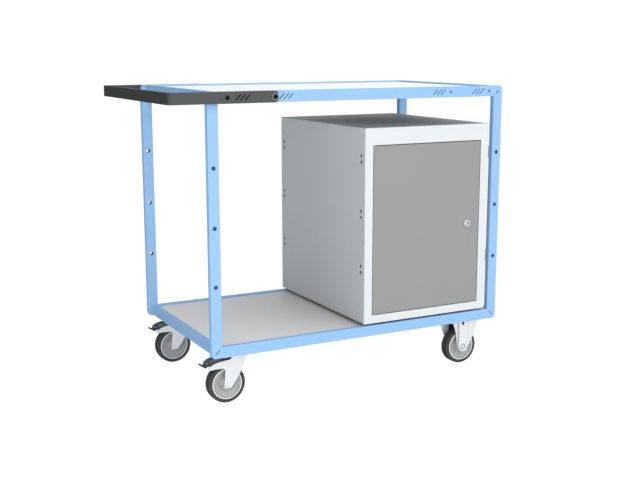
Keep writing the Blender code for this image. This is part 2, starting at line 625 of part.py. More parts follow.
def make_door():
    """The inset door, its two hinge pins, the lock housing, the turning plug and its cam."""
    hinge = pivot("door_hinge", HINGE_AXIS)
    sheet = DOOR_SHEET
    outer = (DOOR_LEFT, DOOR_RIGHT, DOOR_LOW, DOOR_HIGH)
    inner = (DOOR_LEFT + sheet, DOOR_RIGHT - sheet, DOOR_LOW + sheet, DOOR_HIGH - sheet)
    tray = [(*outer, DOOR_FACE), (*outer, DOOR_FACE + DOOR_DEPTH), (*inner, DOOR_FACE + DOOR_DEPTH),
            (*inner, DOOR_FACE + sheet)]
    door = piece("door_panel", loops(tray, False), "grey_paint", hinge)
    radius = HINGE_PIN_DIAMETER / 2
    pin_spot = (HINGE_AXIS.x, HINGE_AXIS.y, 0)
    cut(door, "cut_door_pins", rod(pin_spot, (0, 0, 1), hole_radius(HINGE_PIN_DIAMETER),
                                   DOOR_LOW - sheet, DOOR_HIGH + sheet))
    through = DOOR_GAP + 2 * CABINET_SHEET
    lower = (DOOR_LOW - through, DOOR_LOW + HINGE_PIN_IN_DOOR)
    upper = (DOOR_HIGH - HINGE_PIN_IN_DOOR, DOOR_HIGH + through)
    for level, (start, end) in (("lower", lower), ("upper", upper)):
        piece(f"{level}_hinge_pin", rod(pin_spot, (0, 0, 1), radius, start, end), "zinc", hinge, True)

    barrel = LOCK_BARREL_DIAMETER / 2
    lock_hole = rod(LOCK_AXIS, (0, 1, 0), hole_radius(LOCK_BARREL_DIAMETER), -sheet, 2 * sheet)
    cut(door, "cut_door_lock", lock_hole)
    bezel = LOCK_BEZEL_DIAMETER / 2
    bore = hole_radius(LOCK_PLUG_DIAMETER)
    rim = LOCK_BEZEL_HEIGHT
    cam_front = FRAME_RETURN - DOOR_RECESS + CLEARANCE + LOCK_CAM_THICKNESS / 2
    housing = [(bore, -rim), (bezel - rim / 2, -rim), (bezel, -rim / 2), (bezel, -CLEARANCE),
               (barrel, -CLEARANCE), (barrel, cam_front - CLEARANCE), (bore, cam_front - CLEARANCE)]
    piece("lock_housing", turned(housing, LOCK_AXIS, (0, 1, 0), 24, True), "nickel", hinge, True)
    lock = pivot("lock_turn", LOCK_AXIS, hinge)
    plug = piece("lock_plug", rod(LOCK_AXIS, (0, 1, 0), LOCK_PLUG_DIAMETER / 2, -rim, cam_front - CLEARANCE),
                 "nickel", lock, True)
    half_key = LOCK_KEYWAY_WIDTH / 2
    key_rise = LOCK_KEYWAY_LENGTH / 2
    face = LOCK_AXIS.y - rim
    cut(plug, "cut_keyway", block((LOCK_AXIS.x - half_key, face - rim, LOCK_AXIS.z - key_rise),
                                  (LOCK_AXIS.x + half_key, face + LOCK_KEYWAY_DEPTH, LOCK_AXIS.z + key_rise)))
    half_cam = LOCK_CAM_WIDTH / 2
    cam_reach = LOCK_FROM_EDGE + DOOR_GAP + LOCK_CAM_OVERLAP
    tip = arc((LOCK_AXIS.x, LOCK_AXIS.z), half_cam, 0, 180, 8)
    cam_end = LOCK_AXIS.z - cam_reach
    cam = tip + [(LOCK_AXIS.x - half_cam, cam_end), (LOCK_AXIS.x + half_cam, cam_end)]
    start = LOCK_AXIS.y + cam_front
    piece("lock_cam", prism("Y", cam, start, start + LOCK_CAM_THICKNESS), "zinc", lock)


def make_wheel(tag, axle, axle_parent, wheel):
    """Tyre, wheel centre and axle bolt, all centred on the axle empty."""
    centre = Vector(axle)
    half = WHEEL_WIDTH / 2
    radius = WHEEL_RADIUS
    rim = radius - TYRE_THICKNESS
    shoulder = TYRE_SHOULDER
    tyre = [(rim + CLEARANCE, -half), (radius - shoulder, -half), (radius, -half + shoulder),
            (radius, half - shoulder), (radius - shoulder, half), (rim + CLEARANCE, half)]
    piece(f"{tag}_tyre", turned(tyre, centre, (0, 1, 0), WHEEL_SEGMENTS, True), "rubber", wheel, True)
    hub = HUB_DIAMETER / 2
    bore = hole_radius(AXLE_DIAMETER)
    hub_half = FORK_INNER - HUB_SIDE_GAP
    band = rim - RIM_BAND
    dish = half - RIM_DISH
    side = [(bore, -hub_half), (hub, -hub_half), (hub, -dish), (band, -dish), (band, -half), (rim, -half)]
    centre_profile = side + [(r, -along) for r, along in reversed(side)]
    piece(f"{tag}_wheel_centre", turned(centre_profile, centre, (0, 1, 0), WHEEL_SEGMENTS, True),
          "wheel_plastic", wheel, True)
    shank = AXLE_DIAMETER / 2
    head = AXLE_HEAD_DIAMETER / 2
    inside = FORK_OUTER + CLEARANCE
    outside = inside + AXLE_HEAD_HEIGHT
    half_axle = [(0, -outside), (head, -outside), (head, -inside), (shank, -inside)]
    axle_profile = half_axle + [(r, -along) for r, along in reversed(half_axle)]
    piece(f"{tag}_axle", turned(axle_profile, centre, (0, 1, 0), HOLE_SIDES, False), "zinc", axle_parent)


def fork_legs(front_outline, rear_outline, centre_y):
    """The two legs of a fork, one on each side of the wheel."""
    bm = prism("Y", front_outline, centre_y - FORK_OUTER, centre_y - FORK_INNER)
    return prism("Y", rear_outline, centre_y + FORK_INNER, centre_y + FORK_OUTER, bm)


def make_swivel_caster(tag, x, y):
    """A swivel caster with a foot brake; it trails to -X."""
    plate = block((x - PLATE_LENGTH / 2, y - PLATE_WIDTH / 2, PLATE_UNDER),
                  (x + PLATE_LENGTH / 2, y + PLATE_WIDTH / 2, PLATE_TOP))
    top_plate = piece(f"{tag}_caster_plate", plate, "zinc")
    weld = PLATE_THICKNESS / 2
    neck_low = CROWN_UNDER - CLEARANCE
    nut_low = neck_low - KINGPIN_NUT_HEIGHT
    post = [(0, PLATE_UNDER + weld), (RACE_RADIUS, PLATE_UNDER + weld), (RACE_RADIUS, CROWN_TOP + CLEARANCE),
            (KINGPIN_RADIUS, CROWN_TOP + CLEARANCE), (KINGPIN_RADIUS, neck_low),
            (KINGPIN_NUT_RADIUS, neck_low), (KINGPIN_NUT_RADIUS, nut_low), (0, nut_low)]
    join(top_plate, f"join_{tag}_kingpin", turned(post, (x, y, 0), (0, 0, 1), 24, False))

    axle = Vector((x - CASTER_TRAIL, y, WHEEL_RADIUS))
    swivel = pivot(f"{tag}_swivel", (x, y, PLATE_UNDER))
    wheel = pivot(f"{tag}_axle_line", axle, swivel)
    ax = axle.x
    az = axle.z
    tyre_top = az + WHEEL_RADIUS
    head_right = x + RACE_RADIUS - FORK_CROWN_MARGIN
    tip = FORK_TIP_HALF_WIDTH
    outline = [(ax - tip, az - FORK_TIP_DROP), (ax + tip, az - FORK_TIP_DROP),
               (ax + CASTER_TRAIL, az + WHEEL_RADIUS * 0.45), (head_right, CROWN_UNDER),
               (head_right, CROWN_TOP), (ax + PEDAL_PIVOT_OFFSET + tip, CROWN_TOP),
               (ax + PEDAL_PIVOT_OFFSET, tyre_top + PEDAL_PIVOT_RISE + PEDAL_PIN_DIAMETER),
               (ax - FORK_ARM_REACH, tyre_top), (ax - FORK_ARM_REACH, tyre_top - FORK_SHEET),
               (ax - tip, tyre_top - 3 * FORK_SHEET), (ax - tip / 2, tyre_top - 6 * FORK_SHEET)]
    fork = piece(f"{tag}_fork", fork_legs(outline, outline, y), "zinc", swivel)
    crown = block((ax + PEDAL_PIVOT_OFFSET + tip, y - FORK_OUTER, CROWN_UNDER),
                  (head_right, y + FORK_OUTER, CROWN_TOP))
    join(fork, f"join_{tag}_crown", crown)
    collar = rod((x, y, 0), (0, 0, 1), RACE_RADIUS, CROWN_UNDER, CROWN_TOP, 24)
    join(fork, f"join_{tag}_collar", collar)
    bores = rod((x, y, 0), (0, 0, 1), hole_radius(2 * KINGPIN_RADIUS),
                CROWN_UNDER - FORK_SHEET, CROWN_TOP + FORK_SHEET)
    reach = FORK_OUTER + FORK_SHEET
    absorb(bores, rod(axle, (0, 1, 0), hole_radius(AXLE_DIAMETER), -reach, reach))
    pedal_axis = Vector((ax + PEDAL_PIVOT_OFFSET, y, tyre_top + PEDAL_PIVOT_RISE))
    absorb(bores, rod(pedal_axis, (0, 1, 0), hole_radius(PEDAL_PIN_DIAMETER), -reach, reach))
    cut(fork, f"cut_{tag}_bores", bores)
    make_wheel(tag, axle, swivel, wheel)
    make_pedal(tag, axle, pedal_axis, swivel)


def make_pedal(tag, axle, pedal_axis, swivel):
    """The brake pedal over the tyre, with its pivot pin and the release tab at its end."""
    hinge = pivot(f"{tag}_pedal_pivot", pedal_axis, swivel)
    ax = axle.x
    top = axle.z + WHEEL_RADIUS
    pivot_x = PEDAL_PIVOT_OFFSET
    pin = PEDAL_PIN_DIAMETER
    roof = CROWN_UNDER - top
    outline = [(ax + pivot_x + pin, top + PEDAL_PIVOT_RISE - pin / 2),
               (ax + pivot_x + pin, top + PEDAL_PIVOT_RISE + pin),
               (ax - PEDAL_REACH * 0.40, top + roof), (ax - PEDAL_REACH * 0.80, top + roof * 0.75),
               (ax - PEDAL_REACH, top + roof * 0.50), (ax - PEDAL_REACH * 0.97, top + roof * 0.20),
               (ax - PEDAL_REACH * 0.76, top - roof * 0.10), (ax - PEDAL_REACH * 0.40, top + roof * 0.25)]
    half = PEDAL_WIDTH / 2
    body = prism("Y", outline, axle.y - half, axle.y + half)
    pedal = piece(f"{tag}_brake_pedal", body, "black_plastic", hinge)
    inner = ax - PEDAL_REACH * 0.85
    tab = PEDAL_TAB_THICKNESS
    tab_outline = [(inner, top + roof * 0.05), (inner, top + roof * 0.05 + tab * 2),
                   (ax - PEDAL_TAB_REACH, top + roof * 0.52), (ax - PEDAL_TAB_REACH, top + roof * 0.52 - tab)]
    join(pedal, f"join_{tag}_tab", prism("Y", tab_outline, axle.y - half * 0.8, axle.y + half * 0.8))
    join(pedal, f"join_{tag}_pedal_pin", rod(pedal_axis, (0, 1, 0), pin / 2, -FORK_OUTER, FORK_OUTER))


def make_fixed_caster(tag, x, y):
    """A fixed caster: one pressed fork with its top plate, and a wheel."""
    axle = Vector((x, y, WHEEL_RADIUS))
    wheel = pivot(f"{tag}_axle_line", axle)
    tip = FIXED_LEG_TIP_RADIUS
    weld = PLATE_UNDER + PLATE_THICKNESS / 2
    foot = arc((x, axle.z), tip, 200, 340, FIXED_LEG_TIP_STEPS)
    front_leg = [(x + FIXED_LEG_LONG_TOP, weld), (x - FIXED_LEG_SHORT_TOP, weld)] + foot
    rear_leg = [(x + FIXED_LEG_SHORT_TOP, weld), (x - FIXED_LEG_LONG_TOP, weld)] + foot
    fork = piece(f"{tag}_fork", fork_legs(front_leg, rear_leg, y), "zinc")
    plate = block((x - PLATE_LENGTH / 2, y - PLATE_WIDTH / 2, PLATE_UNDER),
                  (x + PLATE_LENGTH / 2, y + PLATE_WIDTH / 2, PLATE_TOP))
    join(fork, f"join_{tag}_plate", plate)
    reach = FORK_OUTER + FORK_SHEET
    cut(fork, f"cut_{tag}_axle", rod(axle, (0, 1, 0), hole_radius(AXLE_DIAMETER), -reach, reach))
    make_wheel(tag, axle, None, wheel)


def main():
    """Build every piece."""
    clear_scene()
    tubes = make_rings()
    make_end_rails()
    make_boards()
    make_handle(tubes)
    make_cabinet()
    make_brackets()
    make_door()
    for place, y in CASTER_Y.items():
        make_swivel_caster(f"{place}_left", CASTER_X_LEFT, y)
        make_fixed_caster(f"{place}_right", CASTER_X_RIGHT, y)


main()
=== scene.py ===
"""Dressed model of a mobile workbench: a tube trolley with a worktop, a shelf, a push handle and a cabinet.

The file is laid out as an add-on and is run as a script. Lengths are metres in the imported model's frame.
"""

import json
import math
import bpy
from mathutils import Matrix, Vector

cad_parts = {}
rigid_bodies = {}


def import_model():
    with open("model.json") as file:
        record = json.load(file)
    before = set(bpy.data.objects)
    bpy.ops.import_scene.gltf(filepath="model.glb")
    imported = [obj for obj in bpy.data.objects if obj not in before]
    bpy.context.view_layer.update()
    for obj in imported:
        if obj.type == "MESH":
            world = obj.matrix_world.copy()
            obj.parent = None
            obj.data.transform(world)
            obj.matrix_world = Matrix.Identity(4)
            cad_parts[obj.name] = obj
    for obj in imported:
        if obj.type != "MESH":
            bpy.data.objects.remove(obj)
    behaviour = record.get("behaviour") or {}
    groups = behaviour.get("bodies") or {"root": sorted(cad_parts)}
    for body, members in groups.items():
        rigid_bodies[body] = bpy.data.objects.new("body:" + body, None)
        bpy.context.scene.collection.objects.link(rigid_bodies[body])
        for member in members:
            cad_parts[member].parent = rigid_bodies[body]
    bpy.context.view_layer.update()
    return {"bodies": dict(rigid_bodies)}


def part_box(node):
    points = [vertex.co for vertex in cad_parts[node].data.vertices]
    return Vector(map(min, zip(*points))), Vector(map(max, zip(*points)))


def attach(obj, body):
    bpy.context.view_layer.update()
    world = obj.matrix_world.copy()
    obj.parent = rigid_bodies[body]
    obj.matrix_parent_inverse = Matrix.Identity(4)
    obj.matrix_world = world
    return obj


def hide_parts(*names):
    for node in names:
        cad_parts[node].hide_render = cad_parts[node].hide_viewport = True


bl_info = {
    "name": "Mobile Workbench Cabinet",
    "version": (1, 0, 0),
    "blender": (4, 5, 0),
    "location": "View3D > Sidebar > Workbench",
    "description": "Dresses the packed workbench trolley with its tubes, sheet metal, casters and finishes",
    "category": "Object",
}

import bmesh
import bpy
from bpy.props import FloatProperty, FloatVectorProperty, PointerProperty
from mathutils import Matrix, Vector

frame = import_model()
MM = 0.001


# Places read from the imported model

def span(*nodes):
    """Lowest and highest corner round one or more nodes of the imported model."""
    boxes = [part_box(node) for node in nodes]
    low = Vector([min(box[0][i] for box in boxes) for i in range(3)])
    high = Vector([max(box[1][i] for box in boxes) for i in range(3)])
    return low, high


RING_PARTS = ("left_post", "right_post", "top_rail", "bottom_rail")
RINGS = {end: span(*[f"{end}_{part}" for part in RING_PARTS]) for end in ("front", "rear")}
LEFT = RINGS["front"][0].x
RIGHT = RINGS["front"][1].x
BASE = RINGS["front"][0].z
TOP = RINGS["front"][1].z
TUBE_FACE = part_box("front_left_post")[1][0] - LEFT
CABINET_LOW, CABINET_HIGH = span("cabinet_face_frame", "cabinet_back")
LOCK_LOW, LOCK_HIGH = span("lock_housing")
LOCK_X = (LOCK_LOW.x + LOCK_HIGH.x) / 2
LOCK_Z = (LOCK_LOW.z + LOCK_HIGH.z) / 2

# The door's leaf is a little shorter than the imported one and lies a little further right
DOOR_LOW, DOOR_HIGH = span("door_panel")
DOOR_LOW += Vector((0.0017, 0, 0.0013))
DOOR_HIGH += Vector((0.0016, 0, -0.0028))

# Heights of the posts' holes and of the slots in the cabinet's sides
LOWEST_HOLE = 0.226
HOLE_STEP = 0.182
LEVELS = [BASE + LOWEST_HOLE + HOLE_STEP * step for step in range(3)]

# Distances along a top rail from its left end
SLOT_GROUPS = (0.2606, 0.8218, 0.9784)
PIN_HOLES = (0.8684, 1.0244)
HANDLE_SLOTS = 0.110
HANDLE_BOLT = 0.060


def length_size(label, words, value):
    """A length that a user may change."""
    return FloatProperty(name=label, description=words, default=value, min=0.0, unit="LENGTH", precision=4)


def finish_colour(label, words, value):
    """A finish colour that a user may change."""
    return FloatVectorProperty(name=label, description=words, default=value, size=3, min=0.0, max=1.0,
                               subtype="COLOR")


def lamp_power(label, words, value):
    """A light's power that a user may change."""
    return FloatProperty(name=label, description=words, default=value, min=0.0, unit="POWER")


class TubeSizes(bpy.types.PropertyGroup):
    """Sizes of the trolley's flat tubes and of what is punched in them."""

    edge: length_size("Edge", "Rounding of the tube's long edges", 0.0018)
    corner: length_size("Corner", "Radius of a ring's outer corners", 0.013)
    depth: length_size("Depth", "Depth of the rings' tube", 0.0198)
    wall: length_size("Wall", "Wall of the tube", 0.002)
    hole: length_size("Hole", "Diameter of the holes in the posts", 0.0134)
    pin_hole: length_size("Pin Hole", "Diameter of the small holes in the top rails", 0.0075)
    slot_width: length_size("Slot Width", "Width of a slanted slot", 0.0031)
    slot_length: length_size("Slot Length", "Length of a slanted slot", 0.0255)
    slot_pitch: length_size("Slot Pitch", "Step between the slots of a group", 0.0152)
    slit: length_size("Slit", "Width of the slit on a corner's mitre", 0.0029)
    slit_length: length_size("Slit Length", "Length of the slit on a corner's mitre", 0.0190)
    slit_inset: length_size("Slit Inset", "Distance of the slit's middle from the corner's sides", 0.0208)


class HandleSizes(bpy.types.PropertyGroup):
    """Sizes of the push handle."""

    edge: length_size("Edge", "Rounding of the bar's long edges", 0.0014)
    bend: length_size("Bend", "Outer radius of the bends", 0.0158)
    bar: length_size("Bar", "Thickness of the bar", 0.0137)
    leg_end: length_size("Leg End", "Radius of the leg's end corners", 0.010)
    slot_width: length_size("Slot Width", "Width of the slanted slots in the legs", 0.0034)
    black_bolt: length_size("Black Bolt", "Head of the black bolt near the post", 0.0135)
    washer: length_size("Washer", "Diameter of the washer at the leg's end", 0.0230)
    reach: length_size("Reach", "How far the bar stands out past the packed handle", 0.003)
    lap: length_size("Lap", "How far the legs reach past the packed handle's", 0.004)


class CabinetSizes(bpy.types.PropertyGroup):
    """Sizes of the sheet-steel cabinet and its door."""

    sheet: length_size("Sheet", "Thickness of the sheet", 0.0015)
    fold: length_size("Fold", "Outer radius of the folds", 0.0028)
    slot_width: length_size("Slot Width", "Width of the slots in the sides", 0.0075)
    slot_height: length_size("Slot Height", "Height of the slots in the sides", 0.0110)
    slot_pitch: length_size("Slot Pitch", "Step between the two slots of a pair", 0.021)
    slot_inset: length_size("Slot Inset", "Distance of the slots from the cabinet's faces", 0.0245)
    door_fold: length_size("Door Fold", "Rounding of the door's front edges", 0.0018)
    door_lip: length_size("Door Lip", "Width of the lip folded in at the back of the door", 0.011)
    lift: length_size("Lift", "How far the underside lies above the packed one", 0.0010)


class CasterSizes(bpy.types.PropertyGroup):
    """Sizes of the casters."""

    shoulder: length_size("Shoulder", "Rounding of the tyre's shoulders", 0.0034)
    tread: length_size("Tread", "Thickness of the tyre's rubber", 0.0122)
    rim: length_size("Rim", "Width of the bright rim ring", 0.0036)
    fork_sheet: length_size("Fork Sheet", "Thickness of the fork's sheet", 0.003)
    fork_shoulder: length_size("Fork Shoulder", "Radius of the fork's bends under the ball race", 0.004)
    fork_front: length_size("Fork Front", "Rounding of the swivel fork's closed front", 0.012)
    fork_edge: length_size("Fork Edge", "Rounding of the pressed edges", 0.0020)
    leg_step: length_size("Leg Step", "How far a fixed fork's channel stands out from its plate", 0.0054)
    pedal_edge: length_size("Pedal Edge", "Rounding of the brake pedal", 0.003)


class FinishColours(bpy.types.PropertyGroup):
    """Base colours of the finishes."""

    blue: finish_colour("Blue Paint", "Powder coat of the tubes", (0.230, 0.405, 0.645))
    # Thin blue paint inside the tubes, darkened as painted shade for the hollow seen through the holes.
    inside: finish_colour("Tube Inside Shade", "Thin blue paint inside the tubes, darkened as painted shade", (0.040, 0.130, 0.290))
    # Painted shade: a near-black given to the walls of slots, the fixed forks' recesses and holes, where
    # shade falls.
    bare: finish_colour("Hole Shade", "Painted shade in holes, slots and pressings", (0.020, 0.021, 0.023))
    dark: finish_colour("Dark Paint", "Powder coat of the push handle", (0.037, 0.039, 0.039))
    white: finish_colour("White Paint", "Powder coat of the cabinet's front", (0.560, 0.584, 0.592))
    # Painted shade: the cabinet's white paint darkened, used on its sides, back, inner shelf and brackets.
    side: finish_colour("Shaded White Paint", "White powder coat darkened as painted shade, for the cabinet's sides", (0.445, 0.461, 0.463))
    # Painted shade: the cabinet's white paint darkened further for its top, which lies in shade under the
    # worktop.
    top: finish_colour("Top Painted Shade", "White powder coat darkened as painted shade under the worktop", (0.250, 0.255, 0.255))
    grey: finish_colour("Grey Paint", "Powder coat of the door", (0.228, 0.235, 0.231))
    worktop: finish_colour("Worktop", "Laminate of the worktop", (0.86, 0.90, 0.89))
    shelf: finish_colour("Shelf", "Laminate of the lower shelf", (0.63, 0.625, 0.62))
    zinc: finish_colour("Zinc", "Zinc plate of the casters and bolts", (0.545, 0.560, 0.560))
    washer: finish_colour("Washer", "Yellowed zinc of the handle's washers", (0.15, 0.156, 0.118))
    nickel: finish_colour("Nickel", "Nickel plate of the lock", (0.44, 0.44, 0.43))
    rubber: finish_colour("Rubber", "Rubber of the tyres", (0.043, 0.043, 0.043))
    wheel: finish_colour("Wheel", "Moulded wheel centres", (0.305, 0.309, 0.309))
    rim: finish_colour("Rim", "Bright ring beside the tyre", (0.66, 0.67, 0.67))
    pedal: finish_colour("Pedal", "Moulded treads of the brake pedals", (0.066, 0.084, 0.104))
    lever: finish_colour("Pedal Ends", "Black ends of the brake pedals", (0.016, 0.018, 0.019))
    # Also given to the walls of the handle's slots as painted shade.
    bolt: finish_colour("Bolt", "Black bolts in the handle", (0.006, 0.006, 0.007))


class StageLook(bpy.types.PropertyGroup):
    """Camera, floor and light."""

    lens: FloatProperty(name="Lens", description="Focal length of the camera", default=57.94, unit="CAMERA")
    floor: finish_colour("Floor", "Colour of the floor", (0.90, 0.90, 0.90))
    sky_front: FloatProperty(name="Front Sky", description="Sky's strength at the front right", default=1.50)
    sky_rear: FloatProperty(name="Rear Sky", description="Sky's strength at the rear left", default=0.08)
    key: lamp_power("Key", "Power of the large front light", 12.6)
    top: lamp_power("Top", "Power of the light overhead", 24.0)
    side: lamp_power("Side", "Power of the narrow light at the front left", 5.0)
    low: lamp_power("Low", "Power of the light on the floor in front", 6.0)
    left: lamp_power("Left", "Power of the low light at the front left", 6.5)
    fill: lamp_power("Fill", "Power of the light behind", 14.0)


class WorkbenchSettings(bpy.types.PropertyGroup):
    """All settings of the workbench."""

    tubes: PointerProperty(type=TubeSizes, name="Tubes")
    handle: PointerProperty(type=HandleSizes, name="Push Handle")
    cabinet: PointerProperty(type=CabinetSizes, name="Cabinet")
    casters: PointerProperty(type=CasterSizes, name="Casters")
    colours: PointerProperty(type=FinishColours, name="Finishes")
    stage: PointerProperty(type=StageLook, name="Stage")


# Shaping helpers

def slab(low, high):
    """A box between two corners."""
    low = Vector(low)
    high = Vector(high)
    bm = bmesh.new()
    bmesh.ops.create_cube(bm, size=1.0)
    bmesh.ops.scale(bm, vec=high - low, verts=bm.verts)
    bmesh.ops.translate(bm, vec=(low + high) / 2, verts=bm.verts)
    return bm


def along(edge, axis):
    """True where an edge runs along an axis, 0 for X, 1 for Y and 2 for Z."""
    step = edge.verts[1].co - edge.verts[0].co
    return abs(step[axis]) > 0.999 * step.length


def at(edge, axis, value):
    """True where both ends of an edge lie at a value on an axis."""
    return all(abs(vert.co[axis] - value) < 1e-5 for vert in edge.verts)


def lengthwise(bm, axis):
    """Edges of a solid that run along an axis."""
    return [edge for edge in bm.edges if along(edge, axis)]


def round_off(bm, edges, radius, segments=3):
    """Round some edges."""
    bmesh.ops.bevel(bm, geom=list(edges), offset=radius, offset_type="OFFSET", segments=segments, profile=0.5,
                    affect="EDGES", clamp_overlap=True, material=-1)
    return bm


def creases(bm, degrees=40):
    """Edges where the surface turns by more than an angle."""
    limit = math.radians(degrees)
    return [edge for edge in bm.edges if len(edge.link_faces) == 2 and edge.calc_face_angle(0.0) > limit]


def soft_slab(low, high, axis, radius, segments=3):
    """A box whose edges along an axis are rounded."""
    bm = slab(low, high)
    return round_off(bm, lengthwise(bm, axis), radius, segments)


def rim_at(bm, axis, value, degrees=60):
    """Creases of a solid that lie at a value on an axis."""
    return [edge for edge in creases(bm, degrees) if at(edge, axis, value)]


def side_creases(bm, degrees=50):
    """Creases of a solid that don't run along Y."""
    return [edge for edge in creases(bm, degrees) if not along(edge, 1)]


def thicken(bm, faces, step):
    """Extrude faces by a step and turn all faces outwards."""
    grown = bmesh.ops.extrude_face_region(bm, geom=faces)
    moved = [item for item in grown["geom"] if isinstance(item, bmesh.types.BMVert)]
    bmesh.ops.translate(bm, vec=step, verts=moved)
    bmesh.ops.recalc_face_normals(bm, faces=bm.faces)


def stand(bm, place, axis):
    """Turn a solid from Z to an axis and move it to a place."""
    turn = Vector((0, 0, 1)).rotation_difference(Vector(axis)).to_matrix().to_4x4()
    bmesh.ops.transform(bm, matrix=Matrix.Translation(place) @ turn, verts=bm.verts)
    return bm


def outlined(points, axis, start, end):
    """A flat outline of (first, second, rounding) corners, thickened along Y or Z."""
    order = {"Y": (0, 2, 1), "Z": (0, 1, 2)}[axis]

    def placed(first, second, third):
        return Vector([(first, second, third)[i] for i in order])

    bm = bmesh.new()
    corners = [bm.verts.new(placed(first, second, start)) for first, second, _ in points]
    thicken(bm, [bm.faces.new(corners)], placed(0, 0, end - start))
    flat = placed(1, 1, 0)
    for first, second, rounding in points:
        if rounding:
            spot = placed(first, second, 0)
            found = [edge for edge in bm.edges
                     if all(((vert.co - spot) * flat).length < 1e-6 for vert in edge.verts)]
            round_off(bm, found, rounding, 5)
    return bm


def turned(profile, place, axis, segments=48):
    """Spin a profile of (radius, along) points; one that starts off the axis is closed to a ring."""
    bm = bmesh.new()
    points = [bm.verts.new((radius, 0, step)) for radius, step in profile]
    edges = [bm.edges.new(pair) for pair in zip(points, points[1:])]
    if profile[0][0] > 0:
        edges.append(bm.edges.new((points[-1], points[0])))
    bmesh.ops.spin(bm, geom=points + edges, cent=(0, 0, 0), axis=(0, 0, 1), angle=math.tau, steps=segments,
                   use_merge=True)
    bmesh.ops.remove_doubles(bm, verts=bm.verts, dist=1e-6)
    bmesh.ops.recalc_face_normals(bm, faces=bm.faces)
    return stand(bm, place, axis)


def rod(radius, start, end, place, axis, segments=32):
    """A plain round bar along an axis through a place."""
    return turned([(0, start), (radius, start), (radius, end), (0, end)], place, axis, segments)


def hexagon(across, place, axis, start, end, edge=0.0006):
    """A hexagonal bolt head or nut with broken edges; across is measured over the flats."""
    bm = bmesh.new()
    radius = across / math.sqrt(3)
    depth = abs(end - start)
    bmesh.ops.create_cone(bm, cap_ends=True, segments=6, radius1=radius, radius2=radius, depth=depth)
    bmesh.ops.translate(bm, vec=(0, 0, (start + end) / 2), verts=bm.verts)
    round_off(bm, bm.edges, edge, 2)
    return stand(bm, place, axis)


def gather(bm, *others):
    """Add other solids to a bmesh; they are used up."""
    for other in others:
        carrier = bpy.data.meshes.new("carrier")
        other.to_mesh(carrier)
        other.free()
        bm.from_mesh(carrier)
        bpy.data.meshes.remove(carrier)
    return bm


def carve(bm, tool, operation="DIFFERENCE"):
    """Cut a tool from a solid or join it on; the tool is used up."""
    things = []
    for name, source in (("carve_work", bm), ("carve_tool", tool)):
        bmesh.ops.recalc_face_normals(source, faces=source.faces)
        mesh = bpy.data.meshes.new(name)
        source.to_mesh(mesh)
        source.free()
        thing = bpy.data.objects.new(name, mesh)
        bpy.context.scene.collection.objects.link(thing)
        things.append(thing)
    work, helper = things
    modifier = work.modifiers.new("carve", "BOOLEAN")
    modifier.operation = operation
    modifier.solver = "EXACT"
    modifier.object = helper
    result = bmesh.new()
    result.from_object(work, bpy.context.evaluated_depsgraph_get())
    for thing in things:
        mesh = thing.data
        bpy.data.objects.remove(thing, do_unlink=True)
        bpy.data.meshes.remove(mesh)
    if not result.faces:
        raise RuntimeError("carving left nothing")
    return result


def finish_piece(name, bm, body, slot, stands_for=(), finishes=(), sharp=38):
    """Turn a bmesh into a piece that rides on a body and stands for nodes; the slot is its usual finish."""
    bmesh.ops.remove_doubles(bm, verts=bm.verts, dist=1e-6)
    bmesh.ops.recalc_face_normals(bm, faces=bm.faces)
    mesh = bpy.data.meshes.new(name)
    bm.to_mesh(mesh)
    bm.free()
    for finish in finishes or [slot]:
        mesh.materials.append(bpy.data.materials[f"{finish}_finish"])
    mesh.shade_smooth()
    mesh.set_sharp_from_angle(angle=math.radians(sharp))
    thing = bpy.data.objects.new(name, mesh)
    bpy.context.scene.collection.objects.link(thing)
    even = thing.modifiers.new("even_normals", "WEIGHTED_NORMAL")
    even.keep_sharp = True
    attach(thing, body)
    if stands_for:
        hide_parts(*stands_for)
    return thing


# Finishes

